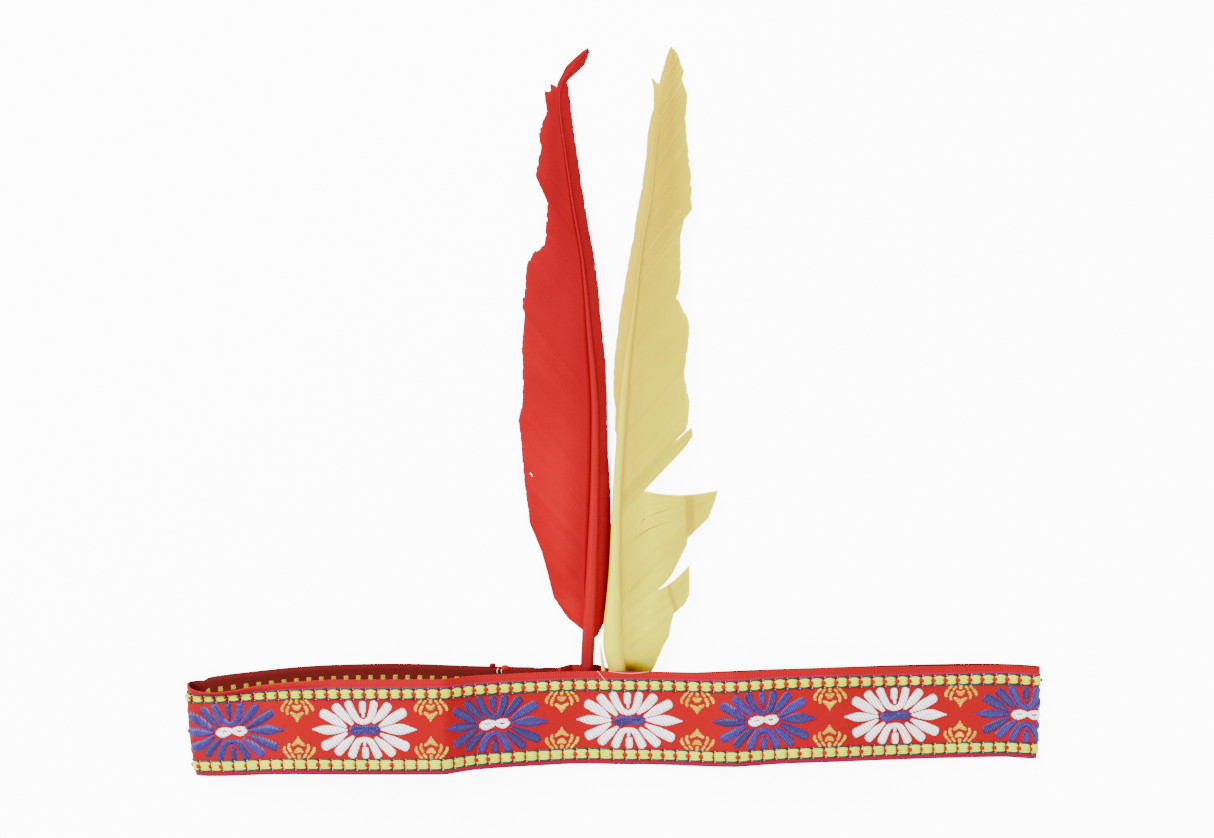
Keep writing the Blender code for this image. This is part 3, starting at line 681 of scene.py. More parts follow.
def strip_along(spots, template, grown, height):
    """The template's points laid along a chain: flat places, and heights above the cloth."""
    share, aside, _ = template
    middles, radii = np.array(spots)[:, :2], np.array(spots)[:, 2]
    places = lengths_along(middles)
    start, end = radii[0] + grown, radii[-1] + grown
    eased = EVENNESS * share + (1 - EVENNESS) * (1 - np.cos(np.pi * share)) / 2
    at = eased * (places[-1] + start + end) - start

    def middle(where):
        """Points on the chain's middle line."""
        held = np.clip(where, 0, places[-1])
        return np.stack([smooth(places, middles[:, k], held) for k in range(2)], axis=-1)

    held = np.clip(at, STRIP_NUDGE, places[-1] - STRIP_NUDGE)
    ahead = middle(held + STRIP_NUDGE) - middle(held - STRIP_NUDGE)
    ahead /= np.linalg.norm(ahead, axis=-1, keepdims=True)
    beyond = np.minimum(at, 0) + np.maximum(at - places[-1], 0)
    past = np.where(beyond < 0, -beyond / start, beyond / end)
    cap = (1 - np.clip(past, 0, 1) ** BLUNTNESS) ** (1 / BLUNTNESS)
    half = (smooth(places, radii, np.clip(at, 0, places[-1])) + grown) * cap
    sideways = np.stack([-ahead[:, 1], ahead[:, 0]], axis=-1)
    flat = middle(at) + ahead * beyond[:, None] + sideways * (half * aside)[:, None]
    dome = (1 - np.abs(aside) ** BLUNTNESS) ** (1 / BLUNTNESS) * cap**0.6
    return np.column_stack([flat, height * dome])


def float_blocks(chains, template, height, grown=0.0):
    """One block of points for each chain."""
    return np.array([strip_along(spots, template, grown, height) for spots in chains])


def copies_along(blocks, places, across, flip=1):
    """The blocks once for each place along the strip, upside down where flip is -1."""
    moved = np.repeat(blocks[None], len(places), axis=0)
    moved[..., 0] += np.asarray(places)[:, None, None]
    moved[..., 1] = moved[..., 1] * flip + across
    return moved.reshape(-1, *blocks.shape[1:])


def woven(name, faces, flat, material):
    """One piece of thread on the ribbon, from flat blocks of points."""
    made = joined(name, faces, lay(flat), rng.random(len(flat)), flat[..., :2], material, "woven_ribbon")
    return made


def float_piece(name, blocks, template, material, lift=0.0):
    """All blocks that lie wholly on the strip, as one piece."""
    low, high = blocks[..., 0].min(axis=1), blocks[..., 0].max(axis=1)
    kept = blocks[(low > END_ROOM) & (high < STRIP_LENGTH - END_ROOM)]
    return woven(name, template[2], kept + (0, 0, CLOTH_TOP + lift), material)


# %% [markdown]
# Thread materials. Polyester embroidery thread is glossy along its length. The dark lines between the threads
# are painted shade. They come from the piece's own UV map in metres, so they keep their real spacing. Lighter
# streaks along the threads are painted sheen, and every bundle is a little lighter or darker than its
# neighbour, which comes from a number stored on each copy.

# %% Materials of the threads
STREAKS = (1500.0, 1100.0, 1.0)
MARK_SHARE = 0.35


def thread_material(name, colours, roughness, gloss=0.3, spacing=0.80 * MM, slant=0.6, weft=False):
    """Dyed thread in rows, in its own middle colour, with a dark colour painted as shade between the threads
    and a light colour painted as sheen in streaks. weft rows run along the ribbon.
    """
    dark, middle, light = colours
    material = start_material(name, middle, roughness, gloss)
    along, across = flat_axes(material)
    rows = thread_rows(material, across if weft else along, spacing, slant, along if weft else across)
    spot = add_node(material, "ShaderNodeUVMap", uv_map="flat").outputs["UV"]
    mark = add_node(material, "ShaderNodeAttribute", attribute_name="mark").outputs["Fac"]
    both = reckon(material, "MULTIPLY_ADD", mark, MARK_SHARE, noise(material, spot, STREAKS, 2.0))
    # painted sheen: lighter streaks along the threads, mixed with each bundle's own random tone
    lit = blend(material, ramp(material, both, 0.55, 1.0), middle, light)
    # painted shade: the dark colour lies in the grooves between the threads
    feed(material, "Base Color", blend(material, ramp(material, rows, 0.0, 0.7), dark, lit))
    bump(material, rows, 0.10 * MM)
    return material


# Each thread's colours: painted shade between the threads, the thread's own colour, and painted sheen
VIOLETS = ("#120830", "#241352", "#3C2A8E")
WHITES = ("#B88AA6", "#FFFDFD", "#FFFFFF")
GOLDS = ("#8A2C08", "#BA9400", "#F6D820")
CHARTREUSES = ("#839A00", "#CFE800", "#EEFA18")
MAGENTAS = ("#680028", "#820035", "#8F073E")
REDS = ("#7E0604", "#9C0602", "#AE1004")
NAVIES = ("#0C0A1C", "#0F0C23", "#201C44")
# Pale lilac colours for the beads that stand for the navy stitches' glints: painted highlight
LILAC_GLINTS = ("#5A4C90", "#A394DC", "#E4DCFF")
TEALS = ("#081A18", "#081D1A", "#124038")
OLIVES = ("#5D5500", "#94901A", "#B8AE20")
violet_thread = thread_material("violet polyester thread", VIOLETS, 0.35)
white_thread = thread_material("white polyester thread", WHITES, 0.45, 0.3, 1.20 * MM)
gold_thread = thread_material("gold polyester thread", GOLDS, 0.5, 0.2, 0.73 * MM, 0.25, True)
chartreuse = thread_material("chartreuse polyester thread", CHARTREUSES, 0.6, 0.08, 0.62 * MM, 0.0, True)
magenta_thread = thread_material("magenta binding thread", MAGENTAS, 0.6, 0.15)
red_thread = thread_material("red binding thread", REDS, 0.6, 0.1)
navy_thread = thread_material("navy edging thread", NAVIES, 0.4)
lilac_glint_thread = thread_material("pale lilac beads painted as glints", LILAC_GLINTS, 0.4)
teal_thread = thread_material("teal edging thread", TEALS, 0.45)
olive_thread = thread_material("olive ends of the dash thread", OLIVES, 0.6, 0.15)

# %% The flowers and the lotus motifs
DASH_PITCH = 4.0255 * MM
FIRST_DASH = 3.17 * MM
FLOWER_PITCH = 10.75 * DASH_PITCH
FIRST_FLOWER = 44.15 * MM
FLOWER_COUNT = 13
PETAL_HEIGHT = 0.50 * MM
BED_HEIGHT = 0.30 * MM
OUTLINE_HEIGHT = 0.10 * MM
OUTLINE_WIDTH = 0.30 * MM
LOTUS_HEIGHT = 0.28 * MM
LOTUS_GROWN = 0.03 * MM
flower_places = [FIRST_FLOWER + k * FLOWER_PITCH for k in range(FLOWER_COUNT)]
violet_places, white_places = flower_places[0::2], flower_places[1::2]
lotus_places = [place + FLOWER_PITCH / 2 for place in flower_places]
long_strip = strip_template(20, 6)
short_strip = strip_template(9, 5)
petals = float_blocks(PETALS, long_strip, PETAL_HEIGHT)
hearts = float_blocks(HEART, long_strip, PETAL_HEIGHT)
beds = float_blocks(HEART_BED, long_strip, BED_HEIGHT)
outlines = float_blocks(PETALS + HEART_BED, long_strip, OUTLINE_HEIGHT, OUTLINE_WIDTH)
lotus = float_blocks(LOTUS, short_strip, LOTUS_HEIGHT, LOTUS_GROWN)
violet_blocks = np.concatenate([
    copies_along(petals, violet_places, FLOWER_ACROSS),
    copies_along(np.concatenate([hearts, beds]), white_places, FLOWER_ACROSS),
])
white_blocks = np.concatenate([
    copies_along(petals, white_places, FLOWER_ACROSS),
    copies_along(hearts, violet_places, FLOWER_ACROSS),
])
gold_blocks = np.concatenate([
    copies_along(lotus, lotus_places, INNER_LOW + 0.1 * MM),
    copies_along(lotus, lotus_places, INNER_HIGH - 0.1 * MM, -1),
])
outline_blocks = copies_along(outlines, flower_places, FLOWER_ACROSS)
float_piece("magenta_outlines", outline_blocks, long_strip, magenta_thread, -0.04 * MM)
float_piece("violet_floats", violet_blocks, long_strip, violet_thread)
float_piece("white_floats", white_blocks, long_strip, white_thread)
float_piece("gold_floats", gold_blocks, short_strip, gold_thread)

# %% [markdown]
# The two rows of dashes. Each dash is a bundle of thick yellow-green threads that lies loose for 3.8 mm and
# is pinched at both ends, where a red thread binds it, so it swells like a little barrel. It is modelled
# once as a grid with ridges, and copied. Down both sides of each row runs a dark edging thread with a navy
# stitch at every gap, and beside each navy stitch a small pale lilac bead stands for its glint: a painted
# highlight. Round red stitches fill the gaps of the upper row, and some of those of the lower row.

# %% One dash, and the rows of them
DASH_SIZE = (3.82 * MM, 3.10 * MM, 0.55 * MM)
DASH_THREADS = 5
DASH_END_ROOM = 2.2 * MM
LOWER_PHASE = 0.5 * MM


def dash_template(pinch, ridge):
    """A pinched bundle of threads: a grid in the unit square, shaped by formula, with its rim turned down."""
    points, faces = template_of(add_grid(6, 3 * DASH_THREADS)[0])
    u, v = 2 * points[:, 0], 2 * points[:, 1]
    dome = np.sqrt(1 - u**4) * (1 - 0.55 * v**2)
    rows = np.abs(np.cos(DASH_THREADS * np.pi / 2 * (v + 1) + np.pi / 2))
    inside = np.maximum(np.abs(u), np.abs(v)) <= 0.99
    x, y = u / 2 * (1 - 0.05 * v**2), v / 2 * (1 - pinch * u**2)
    return np.stack([x, y, inside * dome * (1 - ridge + ridge * rows)], axis=1), faces


def place_copies(points, places, size, lift):
    """Flat blocks of points at a size, one for each place along and across."""
    blocks = np.repeat((points * size)[None], len(places), axis=0)
    blocks[..., :2] += places[:, None]
    blocks[..., 2] += lift
    return blocks


def row_places(phase, across, offset=0.0):
    """Places along one dash row: every dash's centre, moved by an offset."""
    at = np.arange(FIRST_DASH, STRIP_LENGTH, DASH_PITCH) + phase + offset
    at = at[(at > DASH_END_ROOM) & (at < STRIP_LENGTH - DASH_END_ROOM)]
    return np.stack([at, np.full(at.shape, across)], axis=1)


DashRow = namedtuple("DashRow", "name across phase pinch ridge")
DASH_ROWS = table(
    DashRow,
    ("upper_dashes", TOP_DASHES, 0.0, 0.46, 0.16),
    ("lower_dashes", BOTTOM_DASHES, LOWER_PHASE, 0.18, 0.34),
)
for row in DASH_ROWS:
    places = row_places(row.phase, row.across)
    points, faces = dash_template(row.pinch, row.ridge)
    flat = place_copies(points, places, DASH_SIZE, CLOTH_TOP - 0.05 * MM)
    flat[..., 2] *= rng.uniform(0.85, 1.1, len(places))[:, None]
    woven(row.name, faces, flat, chartreuse)


# %% The red stitches in the gaps, and the edging threads
def bead_template(around, high):
    """A round stitch: a small sphere of few faces, put in the same order in every run."""
    bpy.ops.object.select_all(action="DESELECT")
    bpy.ops.mesh.primitive_uv_sphere_add(segments=around, ring_count=high, radius=0.5)
    points, faces = template_of(bpy.context.active_object)
    order = np.lexsort(np.round(points, 5).T)
    rank = np.argsort(order)
    faces = [np.roll(rank[face], -np.argmin(rank[face])).tolist() for face in faces]
    return points[order], sorted(faces)


RED_STITCH = (1.70 * MM, 1.45 * MM, 0.62 * MM)
NARROW_STITCH, FULL_STITCH = 0.45, 0.95
NARROW_SHARE = 0.6
points, faces = bead_template(8, 4)
upper_gaps = row_places(0.0, TOP_DASHES, DASH_PITCH / 2)
lower_gaps = row_places(LOWER_PHASE, BOTTOM_DASHES, DASH_PITCH / 2)
chances = (NARROW_SHARE, 1 - NARROW_SHARE)
lower_widths = rng.choice([NARROW_STITCH, FULL_STITCH], len(lower_gaps), p=chances)
widths = np.concatenate([np.ones(len(upper_gaps)), lower_widths])
gaps = np.concatenate([upper_gaps, lower_gaps])
flat = place_copies(points, gaps, RED_STITCH, CLOTH_TOP + 0.64 * MM)
flat[..., 0] = gaps[:, :1] + (flat[..., 0] - gaps[:, :1]) * widths[:, None]
woven("red_stitches", faces, flat, red_thread)

EDGING_LINES = [(row, side * EDGING_REACH) for row in (upper_gaps, lower_gaps) for side in (-1, 1)]
EdgeStitch = namedtuple("EdgeStitch", "name material offset size")
# The lilac beads beside the navy stitches are painted highlights: each stands for a navy stitch's glint
EDGE_STITCHES = table(
    EdgeStitch,
    ("navy_stitches", navy_thread, -0.25 * MM, (1.45 * MM, 0.85 * MM, 0.55 * MM)),
    ("lilac_glint_beads", lilac_glint_thread, 0.55 * MM, (0.40 * MM, 0.40 * MM, 0.55 * MM)),
)
points, faces = bead_template(6, 4)
for stitch in EDGE_STITCHES:
    places = np.concatenate([line + (stitch.offset, aside) for line, aside in EDGING_LINES])
    flat = place_copies(points, places, stitch.size, CLOTH_TOP + 0.14 * MM)
    woven(stitch.name, faces, flat, stitch.material)

EDGING_RADIUS = 0.29 * MM
EDGING_SHARES = (0.08, 0.5, 0.92)
edging = [
    [Spot(place + DASH_PITCH * share, across + aside, EDGING_RADIUS) for share in EDGING_SHARES]
    for line, aside in EDGING_LINES
    for place, across in line
]
edging_strip = strip_template(6, 3)
float_piece("edging_threads", float_blocks(edging, edging_strip, 0.26 * MM), edging_strip, teal_thread)

# %% The wrong side's row of squares, where the dash threads pass
SQUARE_REACH = 0.525 * MM
SQUARE_RADIUS = 0.28 * MM
SQUARE_STEPS = (-0.5 * MM, 0.0, 0.5 * MM)
square_strip = strip_template(5, 3)
squares = [
    [Spot(place + end, across + step, SQUARE_RADIUS) for end in (-SQUARE_REACH, SQUARE_REACH)]
    for line in (upper_gaps, lower_gaps)
    for place, across in line
    for step in SQUARE_STEPS
]
flat = float_blocks(squares, square_strip, 0.16 * MM)
flat[..., 2] = -CLOTH_TOP - flat[..., 2]
woven("wrong_side_squares", square_strip[2], flat, olive_thread).data.flip_normals()

# %% [markdown]
# The seam shows in the back layer, left of the red feather. The lap's corners are gathered into small red
# lumps with a frayed tip, held by two dark knots and two pale stitches, and at the feathers' foot two loose
# threads lie on the front layer. The lumps and knots are stretched balls, and the threads are drawn curves.

# %% The seam's gathered corners, knots and stitches
SeamBead = namedtuple("SeamBead", "place size")


def seam_piece(name, material, *beads):
    """Round bits of cloth or knots, each at its place and size in millimetres."""
    points, faces = bead_template(12, 6)
    blocks = np.array([points * bead.size + bead.place for bead in table(SeamBead, *beads)]) * MM
    marks = rng.random(len(beads))
    joined(name, faces, blocks, marks, blocks[..., :2], material, "woven_ribbon")


def thread_piece(name, strands, material):
    """Loose or sewn threads on the ribbon."""
    drawn(name, strands, 2, material, "woven_ribbon")


frayed = start_material("frayed corner of the ribbon", "#6C0A14", 0.8, 0.1)
natural_thread = start_material("undyed sewing thread", "#D8B8A8", 0.7, 0.2)
LEFT_CORNER = ((-38.3, 14.6, 1.3), (1.0, 1.3, 0.8))
RIGHT_CORNER = ((-35.9, 14.8, 1.7), (3.2, 2.3, 1.3))
LEFT_KNOT = ((-39.1, 13.8, 1.3), (0.7, 1.5, 0.7))
RIGHT_KNOT = ((-37.8, 13.9, 1.5), (0.6, 1.3, 0.7))
seam_piece("seam_corners", red_thread, RIGHT_CORNER, LEFT_CORNER)
seam_piece("seam_fray", frayed, ((-40.2, 15.6, 0.8), (2.2, 1.6, 0.9)))
seam_piece("seam_knots", navy_thread, LEFT_KNOT, RIGHT_KNOT)
STITCH_RADIUS = 0.17 * MM
STITCHES = (
    ((-38.2, 14.7, 1.5), (-38.6, 14.1, 1.9), (-38.6, 13.5, 1.9), (-38.3, 12.9, 1.5)),
    ((-37.0, 14.6, 1.9), (-37.2, 14.0, 2.3), (-37.1, 13.5, 2.3), (-36.9, 13.0, 1.9)),
)
stitches = [(np.array(points) * MM, [STITCH_RADIUS] * len(points)) for points in STITCHES]
thread_piece("seam_stitches", stitches, natural_thread)

# %% Two loose threads on the front layer
LOOSE_RADIUS = 0.13 * MM
LOOSE = (
    ((-5.6, 16.0), (-5.2, 14.9), (-4.2, 13.6), (-3.2, 12.5), (-2.4, 11.8), (-1.6, 11.3)),
    ((-1.9, 15.4), (0.3, 15.0), (2.5, 14.7), (5.4, 14.6), (8.2, 14.8), (11.1, 15.5)),
)


def front_strand(places, radius):
    """A loose thread on the front layer, from places in millimetres along X and Y."""
    x, y = np.array(places).T * MM
    along = np.interp(x, PATH[ON_FRONT, 0], PATH_LENGTHS[ON_FRONT])
    shift = np.interp(along, PATH_LENGTHS, PATH[:, 2]) * BAND_WIDTH
    across = np.minimum(y - shift + BAND_WIDTH / 2, BAND_WIDTH)
    flat = np.stack([along, across, np.full(len(x), CLOTH_TOP + radius)], axis=-1)
    return lay(flat, eased=False), [radius] * len(x)


gold_strand = start_material("loose pink and gold thread", "#D88A6C", 0.6, 0.2)
thread_piece("loose_threads", [front_strand(places, LOOSE_RADIUS) for places in LOOSE], gold_strand)

# %% [markdown]
# The cloth patch behind the quills is a scrap of plain dark red weave. It lies on the back layer, turns up
# beside each quill and ends under the front layer. Its path is that of the solid, cut finer and smoothed.

# %% The patch's path
PATCH_OVERHANG = 1.0 * MM
PATCH_INSET = 2.0 * MM
PATCH_SLOPE = 4.0 * MM
PATCH_SIDE_ROOM = 1.4 * MM
PATCH_FLARE = 3.5 * MM
PATCH_HIGH = BAND_WIDTH + PATCH_OVERHANG - PATCH_INSET
PATCH_THREAD = 0.5 * MM
PATCH_SIDE_STEPS = 14
PATCH_ACROSS_STEPS = 23
PATCH_UP_STEPS = 14
PATCH_LOW = PATCH_LEVEL + PATCH_WALL / 2
PATCH_LEFT = RED_PLACE - RED_QUILL / 2 - PATCH_SIDE_ROOM - PATCH_WALL
PATCH_RIGHT = YELLOW_PLACE + YELLOW_QUILL / 2 + PATCH_SIDE_ROOM + PATCH_WALL


def patch_path():
    """Places along the patch: down its left side, along the bottom and up its right side."""
    ends = (PATCH_LEFT - PATCH_FLARE, PATCH_RIGHT + PATCH_FLARE)
    front = np.interp(ends, PATH[ON_FRONT, 0], PATH[ON_FRONT, 1]) + BAND_WALL / 2
    left_rise, right_rise = front - (BAND_WALL / 2 + GAP + PATCH_WALL / 2) - PATCH_LOW
    turn = np.linspace(1, 0, PATCH_SIDE_STEPS + 1)[:-1]
    path = [(PATCH_LEFT - PATCH_FLARE * share, PATCH_LOW + left_rise * share) for share in turn]
    path += [(x, PATCH_LOW) for x in np.linspace(PATCH_LEFT, PATCH_RIGHT, PATCH_ACROSS_STEPS + 1)]
    path += [(PATCH_RIGHT + PATCH_FLARE * share, PATCH_LOW + right_rise * share) for share in turn[::-1]]
    return np.array(path)


def patch_material():
    """Plain-woven dark red cloth, matt, with crossing threads."""
    material = start_material("plain-woven dark red cotton", "#8E1414", 0.9, 0.1)
    warp, weft = (thread_rows(material, axis, PATCH_THREAD) for axis in flat_axes(material))
    weave = reckon(material, "MULTIPLY", warp, weft)
    feed(material, "Base Color", blend(material, weave, "#720E0E", "#9C1616"))
    bump(material, weave, 0.1 * MM)
    return material


# %% The patch
path = patch_path()
grid, unit = add_grid(len(path) - 1, PATCH_UP_STEPS)
step = (unit[:, 0] + 0.5) * (len(path) - 1)
count = np.arange(len(path))
x, z, length = (np.interp(step, count, values) for values in (*path.T, lengths_along(path)))
slope_start = RED_PLACE + RED_QUILL
slope = PATCH_SLOPE * np.clip((x - slope_start) / (PATCH_RIGHT - slope_start), 0, 1)
up = (unit[:, 1] + 0.5) * (PATCH_HIGH - slope)
spots = np.stack([length, up], axis=1)
places = np.stack([x, up + PATCH_INSET - BAND_WIDTH / 2, z], axis=1)
finishes = (patch_material(),)
patch = cloth(grid, "patch_cloth", spots, places, PATCH_WALL, finishes, "patch_cloth", "quill_patch")

# %% [markdown]
# The feathers. A quill feather has a stiff shaft, hollow and bare at its foot, and a vane on each side made
# of several hundred barbs. Barbs zip together into a sheet, which tears between any two of them. So a vane
# here is a fan of separate thin barbs, each tilted a little over the next like roof tiles: the light then
# draws the fine lines of a real vane, the edge is as ragged as its barb tips, and a tear is only a gap
# between two barbs. The tables give the outline and the shaft as shares of each feather's length and width.

# %% Sizes of the feathers, and tables of their shafts
FOOT_INSET = 2.0 * MM
FEATHER_ARCH = 3.0 * MM
VANE_THICKNESS = 0.8 * MM
VANE_DROOP = 0.45

ShaftRow = namedtuple("ShaftRow", "high aside thick")
RED_SHAFT = table(
    ShaftRow,
    (0.0, 0.0, 0.5), (0.03, 0.02, 0.92), (0.145, 0.1, 1.0), (0.27, 0.22, 0.84), (0.4, 0.3, 0.66),
    (0.467, 0.31, 0.61), (0.616, 0.115, 0.42), (0.695, -0.035, 0.31), (0.766, -0.27, 0.27),
    (0.846, -0.5, 0.25), (0.926, -0.675, 0.23), (0.946, -0.64, 0.22), (0.963, -0.445, 0.2),
    (1.0, 0.11, 0.14),
)
YELLOW_SHAFT = table(
    ShaftRow,
    (0.0, 0.0, 0.5), (0.03, 0.04, 0.8), (0.116, 0.01, 0.9), (0.154, -0.08, 1.0), (0.18, -0.085, 0.94),
    (0.22, -0.062, 0.76), (0.27, -0.044, 0.55), (0.345, -0.017, 0.46), (0.458, 0.075, 0.46),
    (0.536, 0.159, 0.4), (0.616, 0.295, 0.27), (0.715, 0.454, 0.21), (0.786, 0.62, 0.18),
    (0.86, 0.717, 0.15), (1.0, 1.0, 0.1),
)
Feather = namedtuple("Feather", "place length quill sweep shaft")
RED = Feather(RED_PLACE, 232.0 * MM, RED_QUILL, 12.0 * MM, RED_SHAFT)
YELLOW = Feather(YELLOW_PLACE, 232.5 * MM, YELLOW_QUILL, 18.0 * MM, YELLOW_SHAFT)

# %% Tables of the vanes
# A vane is one lock of barbs or several, with a split between each two. A row of a lock is a barb's tip,
# and a split is its inner end, with how far the barbs below and above it sag
EdgeRow = namedtuple("EdgeRow", "high out")
Split = namedtuple("Split", "high out below above")
RED_WIDE_LOCKS = (
    table(
        EdgeRow,
        (0.178, 0.09), (0.195, 0.29), (0.223, 0.48), (0.284, 0.65), (0.327, 0.83), (0.388, 0.92),
        (0.446, 0.97), (0.471, 1.0), (0.498, 0.94), (0.572, 0.9), (0.622, 0.82), (0.633, 0.85),
        (0.691, 0.73), (0.707, 0.65), (0.719, 0.46), (0.778, 0.33), (0.817, 0.43), (0.856, 0.32),
        (0.878, 0.31), (0.91, 0.17), (0.938, 0.2), (0.9375, 0.12), (0.949, 0.14), (0.944, 0.05),
        (0.955, 0.05), (0.975, 0.09), (0.995, 0.04), (1.0, 0.005),
    ),
)
RED_NARROW_LOCKS = (
    table(
        EdgeRow,
        (0.17, 0.5), (0.193, 0.9), (0.293, 1.0), (0.383, 0.82), (0.432, 0.67), (0.476, 0.63), (0.556, 0.71),
        (0.725, 0.63), (0.885, 0.63), (0.92, 0.6), (0.945, 0.42), (0.954, 0.24), (0.977, 0.52),
        (0.995, 0.24), (1.0, 0.01),
    ),
)
YELLOW_NARROW_LOCKS = (
    table(
        EdgeRow,
        (0.457, 0.42), (0.489, 0.5), (0.51, 0.72), (0.557, 0.9), (0.616, 0.95), (0.675, 0.83), (0.728, 0.69),
        (0.766, 0.8), (0.846, 0.59), (0.876, 0.68), (0.918, 0.56), (0.946, 0.79), (0.956, 1.0), (0.943, 0.4),
        (0.961, 0.38), (0.99, 0.2), (1.0, 0.02),
    ),
)
YELLOW_WIDE_LOCKS = (
    table(
        EdgeRow,
        (0.119, 0.47), (0.147, 0.65), (0.167, 0.76), (0.199, 0.82), (0.213, 0.97), (0.225, 1.02),
        (0.266, 1.01),
    ),
    Split(0.229, 0.49, 0.0074, 0.0060),
    table(
        EdgeRow, (0.262, 0.81), (0.294, 0.96), (0.306, 0.98), (0.334, 1.25), (0.355, 1.32), (0.371, 1.36)
    ),
    Split(0.371, 0.345, 0.0070, 0.0),
    table(EdgeRow, (0.436, 0.90), (0.448, 0.97), (0.460, 0.95)),
    Split(0.432, 0.66, 0.0, -0.0015),
    table(
        EdgeRow,
        (0.457, 0.87), (0.472, 0.9), (0.496, 0.89), (0.539, 0.78), (0.553, 0.8), (0.6, 0.78), (0.613, 0.74),
        (0.643, 0.56), (0.671, 0.58), (0.728, 0.5), (0.758, 0.5), (0.768, 0.58), (0.828, 0.49),
        (0.895, 0.35), (0.931, 0.32), (0.953, 0.21), (0.965, 0.22), (0.992, 0.085), (1.0, 0.005),
    ),
)

# The angle between a barb and the shaft, at heights up the feather
AngleRow = namedtuple("AngleRow", "high degrees")
WIDE_BARBS = table(AngleRow, (0.10, 62), (0.25, 47), (0.50, 40), (0.80, 30), (1.0, 20))
NARROW_BARBS = table(AngleRow, (0.10, 45), (0.40, 28), (1.0, 18))

# A vane: the side of the shaft it grows on, its width, its barbs' angles, the height up the feather at
# which its lowest barb grows, and its locks
Vane = namedtuple("Vane", "side width angles start locks")
RED_WIDE = Vane(-1, 25.0 * MM, WIDE_BARBS, 0.158, RED_WIDE_LOCKS)
RED_NARROW = Vane(1, 5.8 * MM, NARROW_BARBS, 0.158, RED_NARROW_LOCKS)
YELLOW_NARROW = Vane(-1, 4.5 * MM, NARROW_BARBS, 0.437, YELLOW_NARROW_LOCKS)
YELLOW_WIDE = Vane(1, 24.0 * MM, WIDE_BARBS, 0.115, YELLOW_WIDE_LOCKS)


# %% The shafts. Towards its tip a shaft is slimmer than its table says, and its foot is rounded
SLIM_HIGHS = (0.55, 0.80, 0.95, 1.0)
SLIM_SHARES = (1.0, 0.75, 0.5, 0.1)
FOOT_HIGHS = (0, 0.002, 0.006)
FOOT_SHARES = (0.45, 0.75, 0.95)
FOOT_END = 0.012
SHAFT_STEPS = 150


def shaft_x(feather, high):
    """Sideways place of the shaft at heights up the feather."""
    return feather.place + feather.sweep * read(feather.shaft, "high", "aside", high)


def shaft_height(feather, high):
    """Height of the shaft's middle: level between the layers of the band, then bowed down to its tip."""
    seat = QUILL_LEVEL + feather.quill / 2
    tip = VANE_THICKNESS / 2
    edge = (BAND_WIDTH - FOOT_INSET) / feather.length
    t = np.clip((high - edge) / (1 - edge), 0, 1)
    return tip + (seat - tip) * (1 - t) + 4 * FEATHER_ARCH * t * (1 - t)


def shaft_radius(feather, high):
    """Radius of the shaft at heights up the feather. It is thinner than the solid's near its tip."""
    thick = read(feather.shaft, "high", "thick", high)
    return feather.quill / 2 * thick * np.interp(high, SLIM_HIGHS, SLIM_SHARES)


def shaft_y(feather, high):
    """Place up the feather in metres."""
    return FOOT_INSET - BAND_WIDTH / 2 + feather.length * high


def shaft_side(feather, high):
    """Reach along X from the middle of the shaft to where its vane begins, more where the shaft leans."""
    step, sunk = 0.004, 0.85
    lean = (shaft_x(feather, high + step) - shaft_x(feather, high - step)) / (2 * step * feather.length)
    return shaft_radius(feather, high) * sunk * np.sqrt(1 + lean**2)


def shaft_piece(feather, name, material, slot, node):
    """Draw a quill and its shaft as one tapering tube with a rounded foot."""
    highs = np.concatenate([FOOT_HIGHS, np.linspace(FOOT_END, 1, SHAFT_STEPS)])
    foot = np.concatenate([FOOT_SHARES, np.ones(SHAFT_STEPS)])
    places = zip(shaft_x(feather, highs), shaft_y(feather, highs), shaft_height(feather, highs))
    return drawn(name, [(list(places), shaft_radius(feather, highs) * foot)], 6, material, slot, node)


def shaft_material(name, shade, body, light, top, shadow_from):
    """Dyed keratin: satin, streaked lengthwise, with painted shadow over the foot that fades out above the
    band, and like the vane near the top.
    """
    material = start_material(name, body, 0.5, 0.08)
    place = add_node(material, "ShaderNodeTexCoord").outputs["Object"]
    up = add_node(material, "ShaderNodeSeparateXYZ", {"Vector": place}).outputs["Y"]
    streaks = noise(material, place, (2200.0, 60.0, 2200.0), 3.0)
    colour = blend(material, ramp(material, streaks, 0.3, 0.7), body, light)
    # painted shadow over the foot: full below 12 mm up, fading out higher up
    colour = blend(material, ramp(material, up, shadow_from, 12 * MM), colour, shade)
    feed(material, "Base Color", blend(material, ramp(material, up, 60 * MM, 150 * MM), colour, top))
    bump(material, streaks, 0.03 * MM, 0.5)
    return material


red_keratin = shaft_material("dyed red keratin", "#5C0A10", "#900009", "#9C000B", "#80000B", 30 * MM)
yellow_keratin = shaft_material("dyed yellow keratin", "#B88800", "#D2CC00", "#E2DE00", "#BCA400", 22 * MM)
shaft_piece(RED, "red_shaft", red_keratin, "red_shaft", "red_quill")
shaft_piece(YELLOW, "yellow_shaft", yellow_keratin, "yellow_shaft", "yellow_quill")

# %% One barb, and the barbs of a lock
BARB_PITCH = 0.34 * MM
BARB_STEPS = 14
BARB_SHARES = 1 - (1 - np.linspace(0, 1, BARB_STEPS)) ** 1.5
TURN = BARB_SHARES[4]
BARB_THICK = 0.22 * MM
BARB_OVERLAP = 1.45
BARB_TILT = 0.03 * MM
BARB_UNEVENNESS = 0.008 * MM
LOWEST = 0.02 * MM
TIP_REACH = 0.35 * MM
TAPER_FROM = 0.96
TIP_WIDTH = 0.4
NICK_WIDTH = 0.05

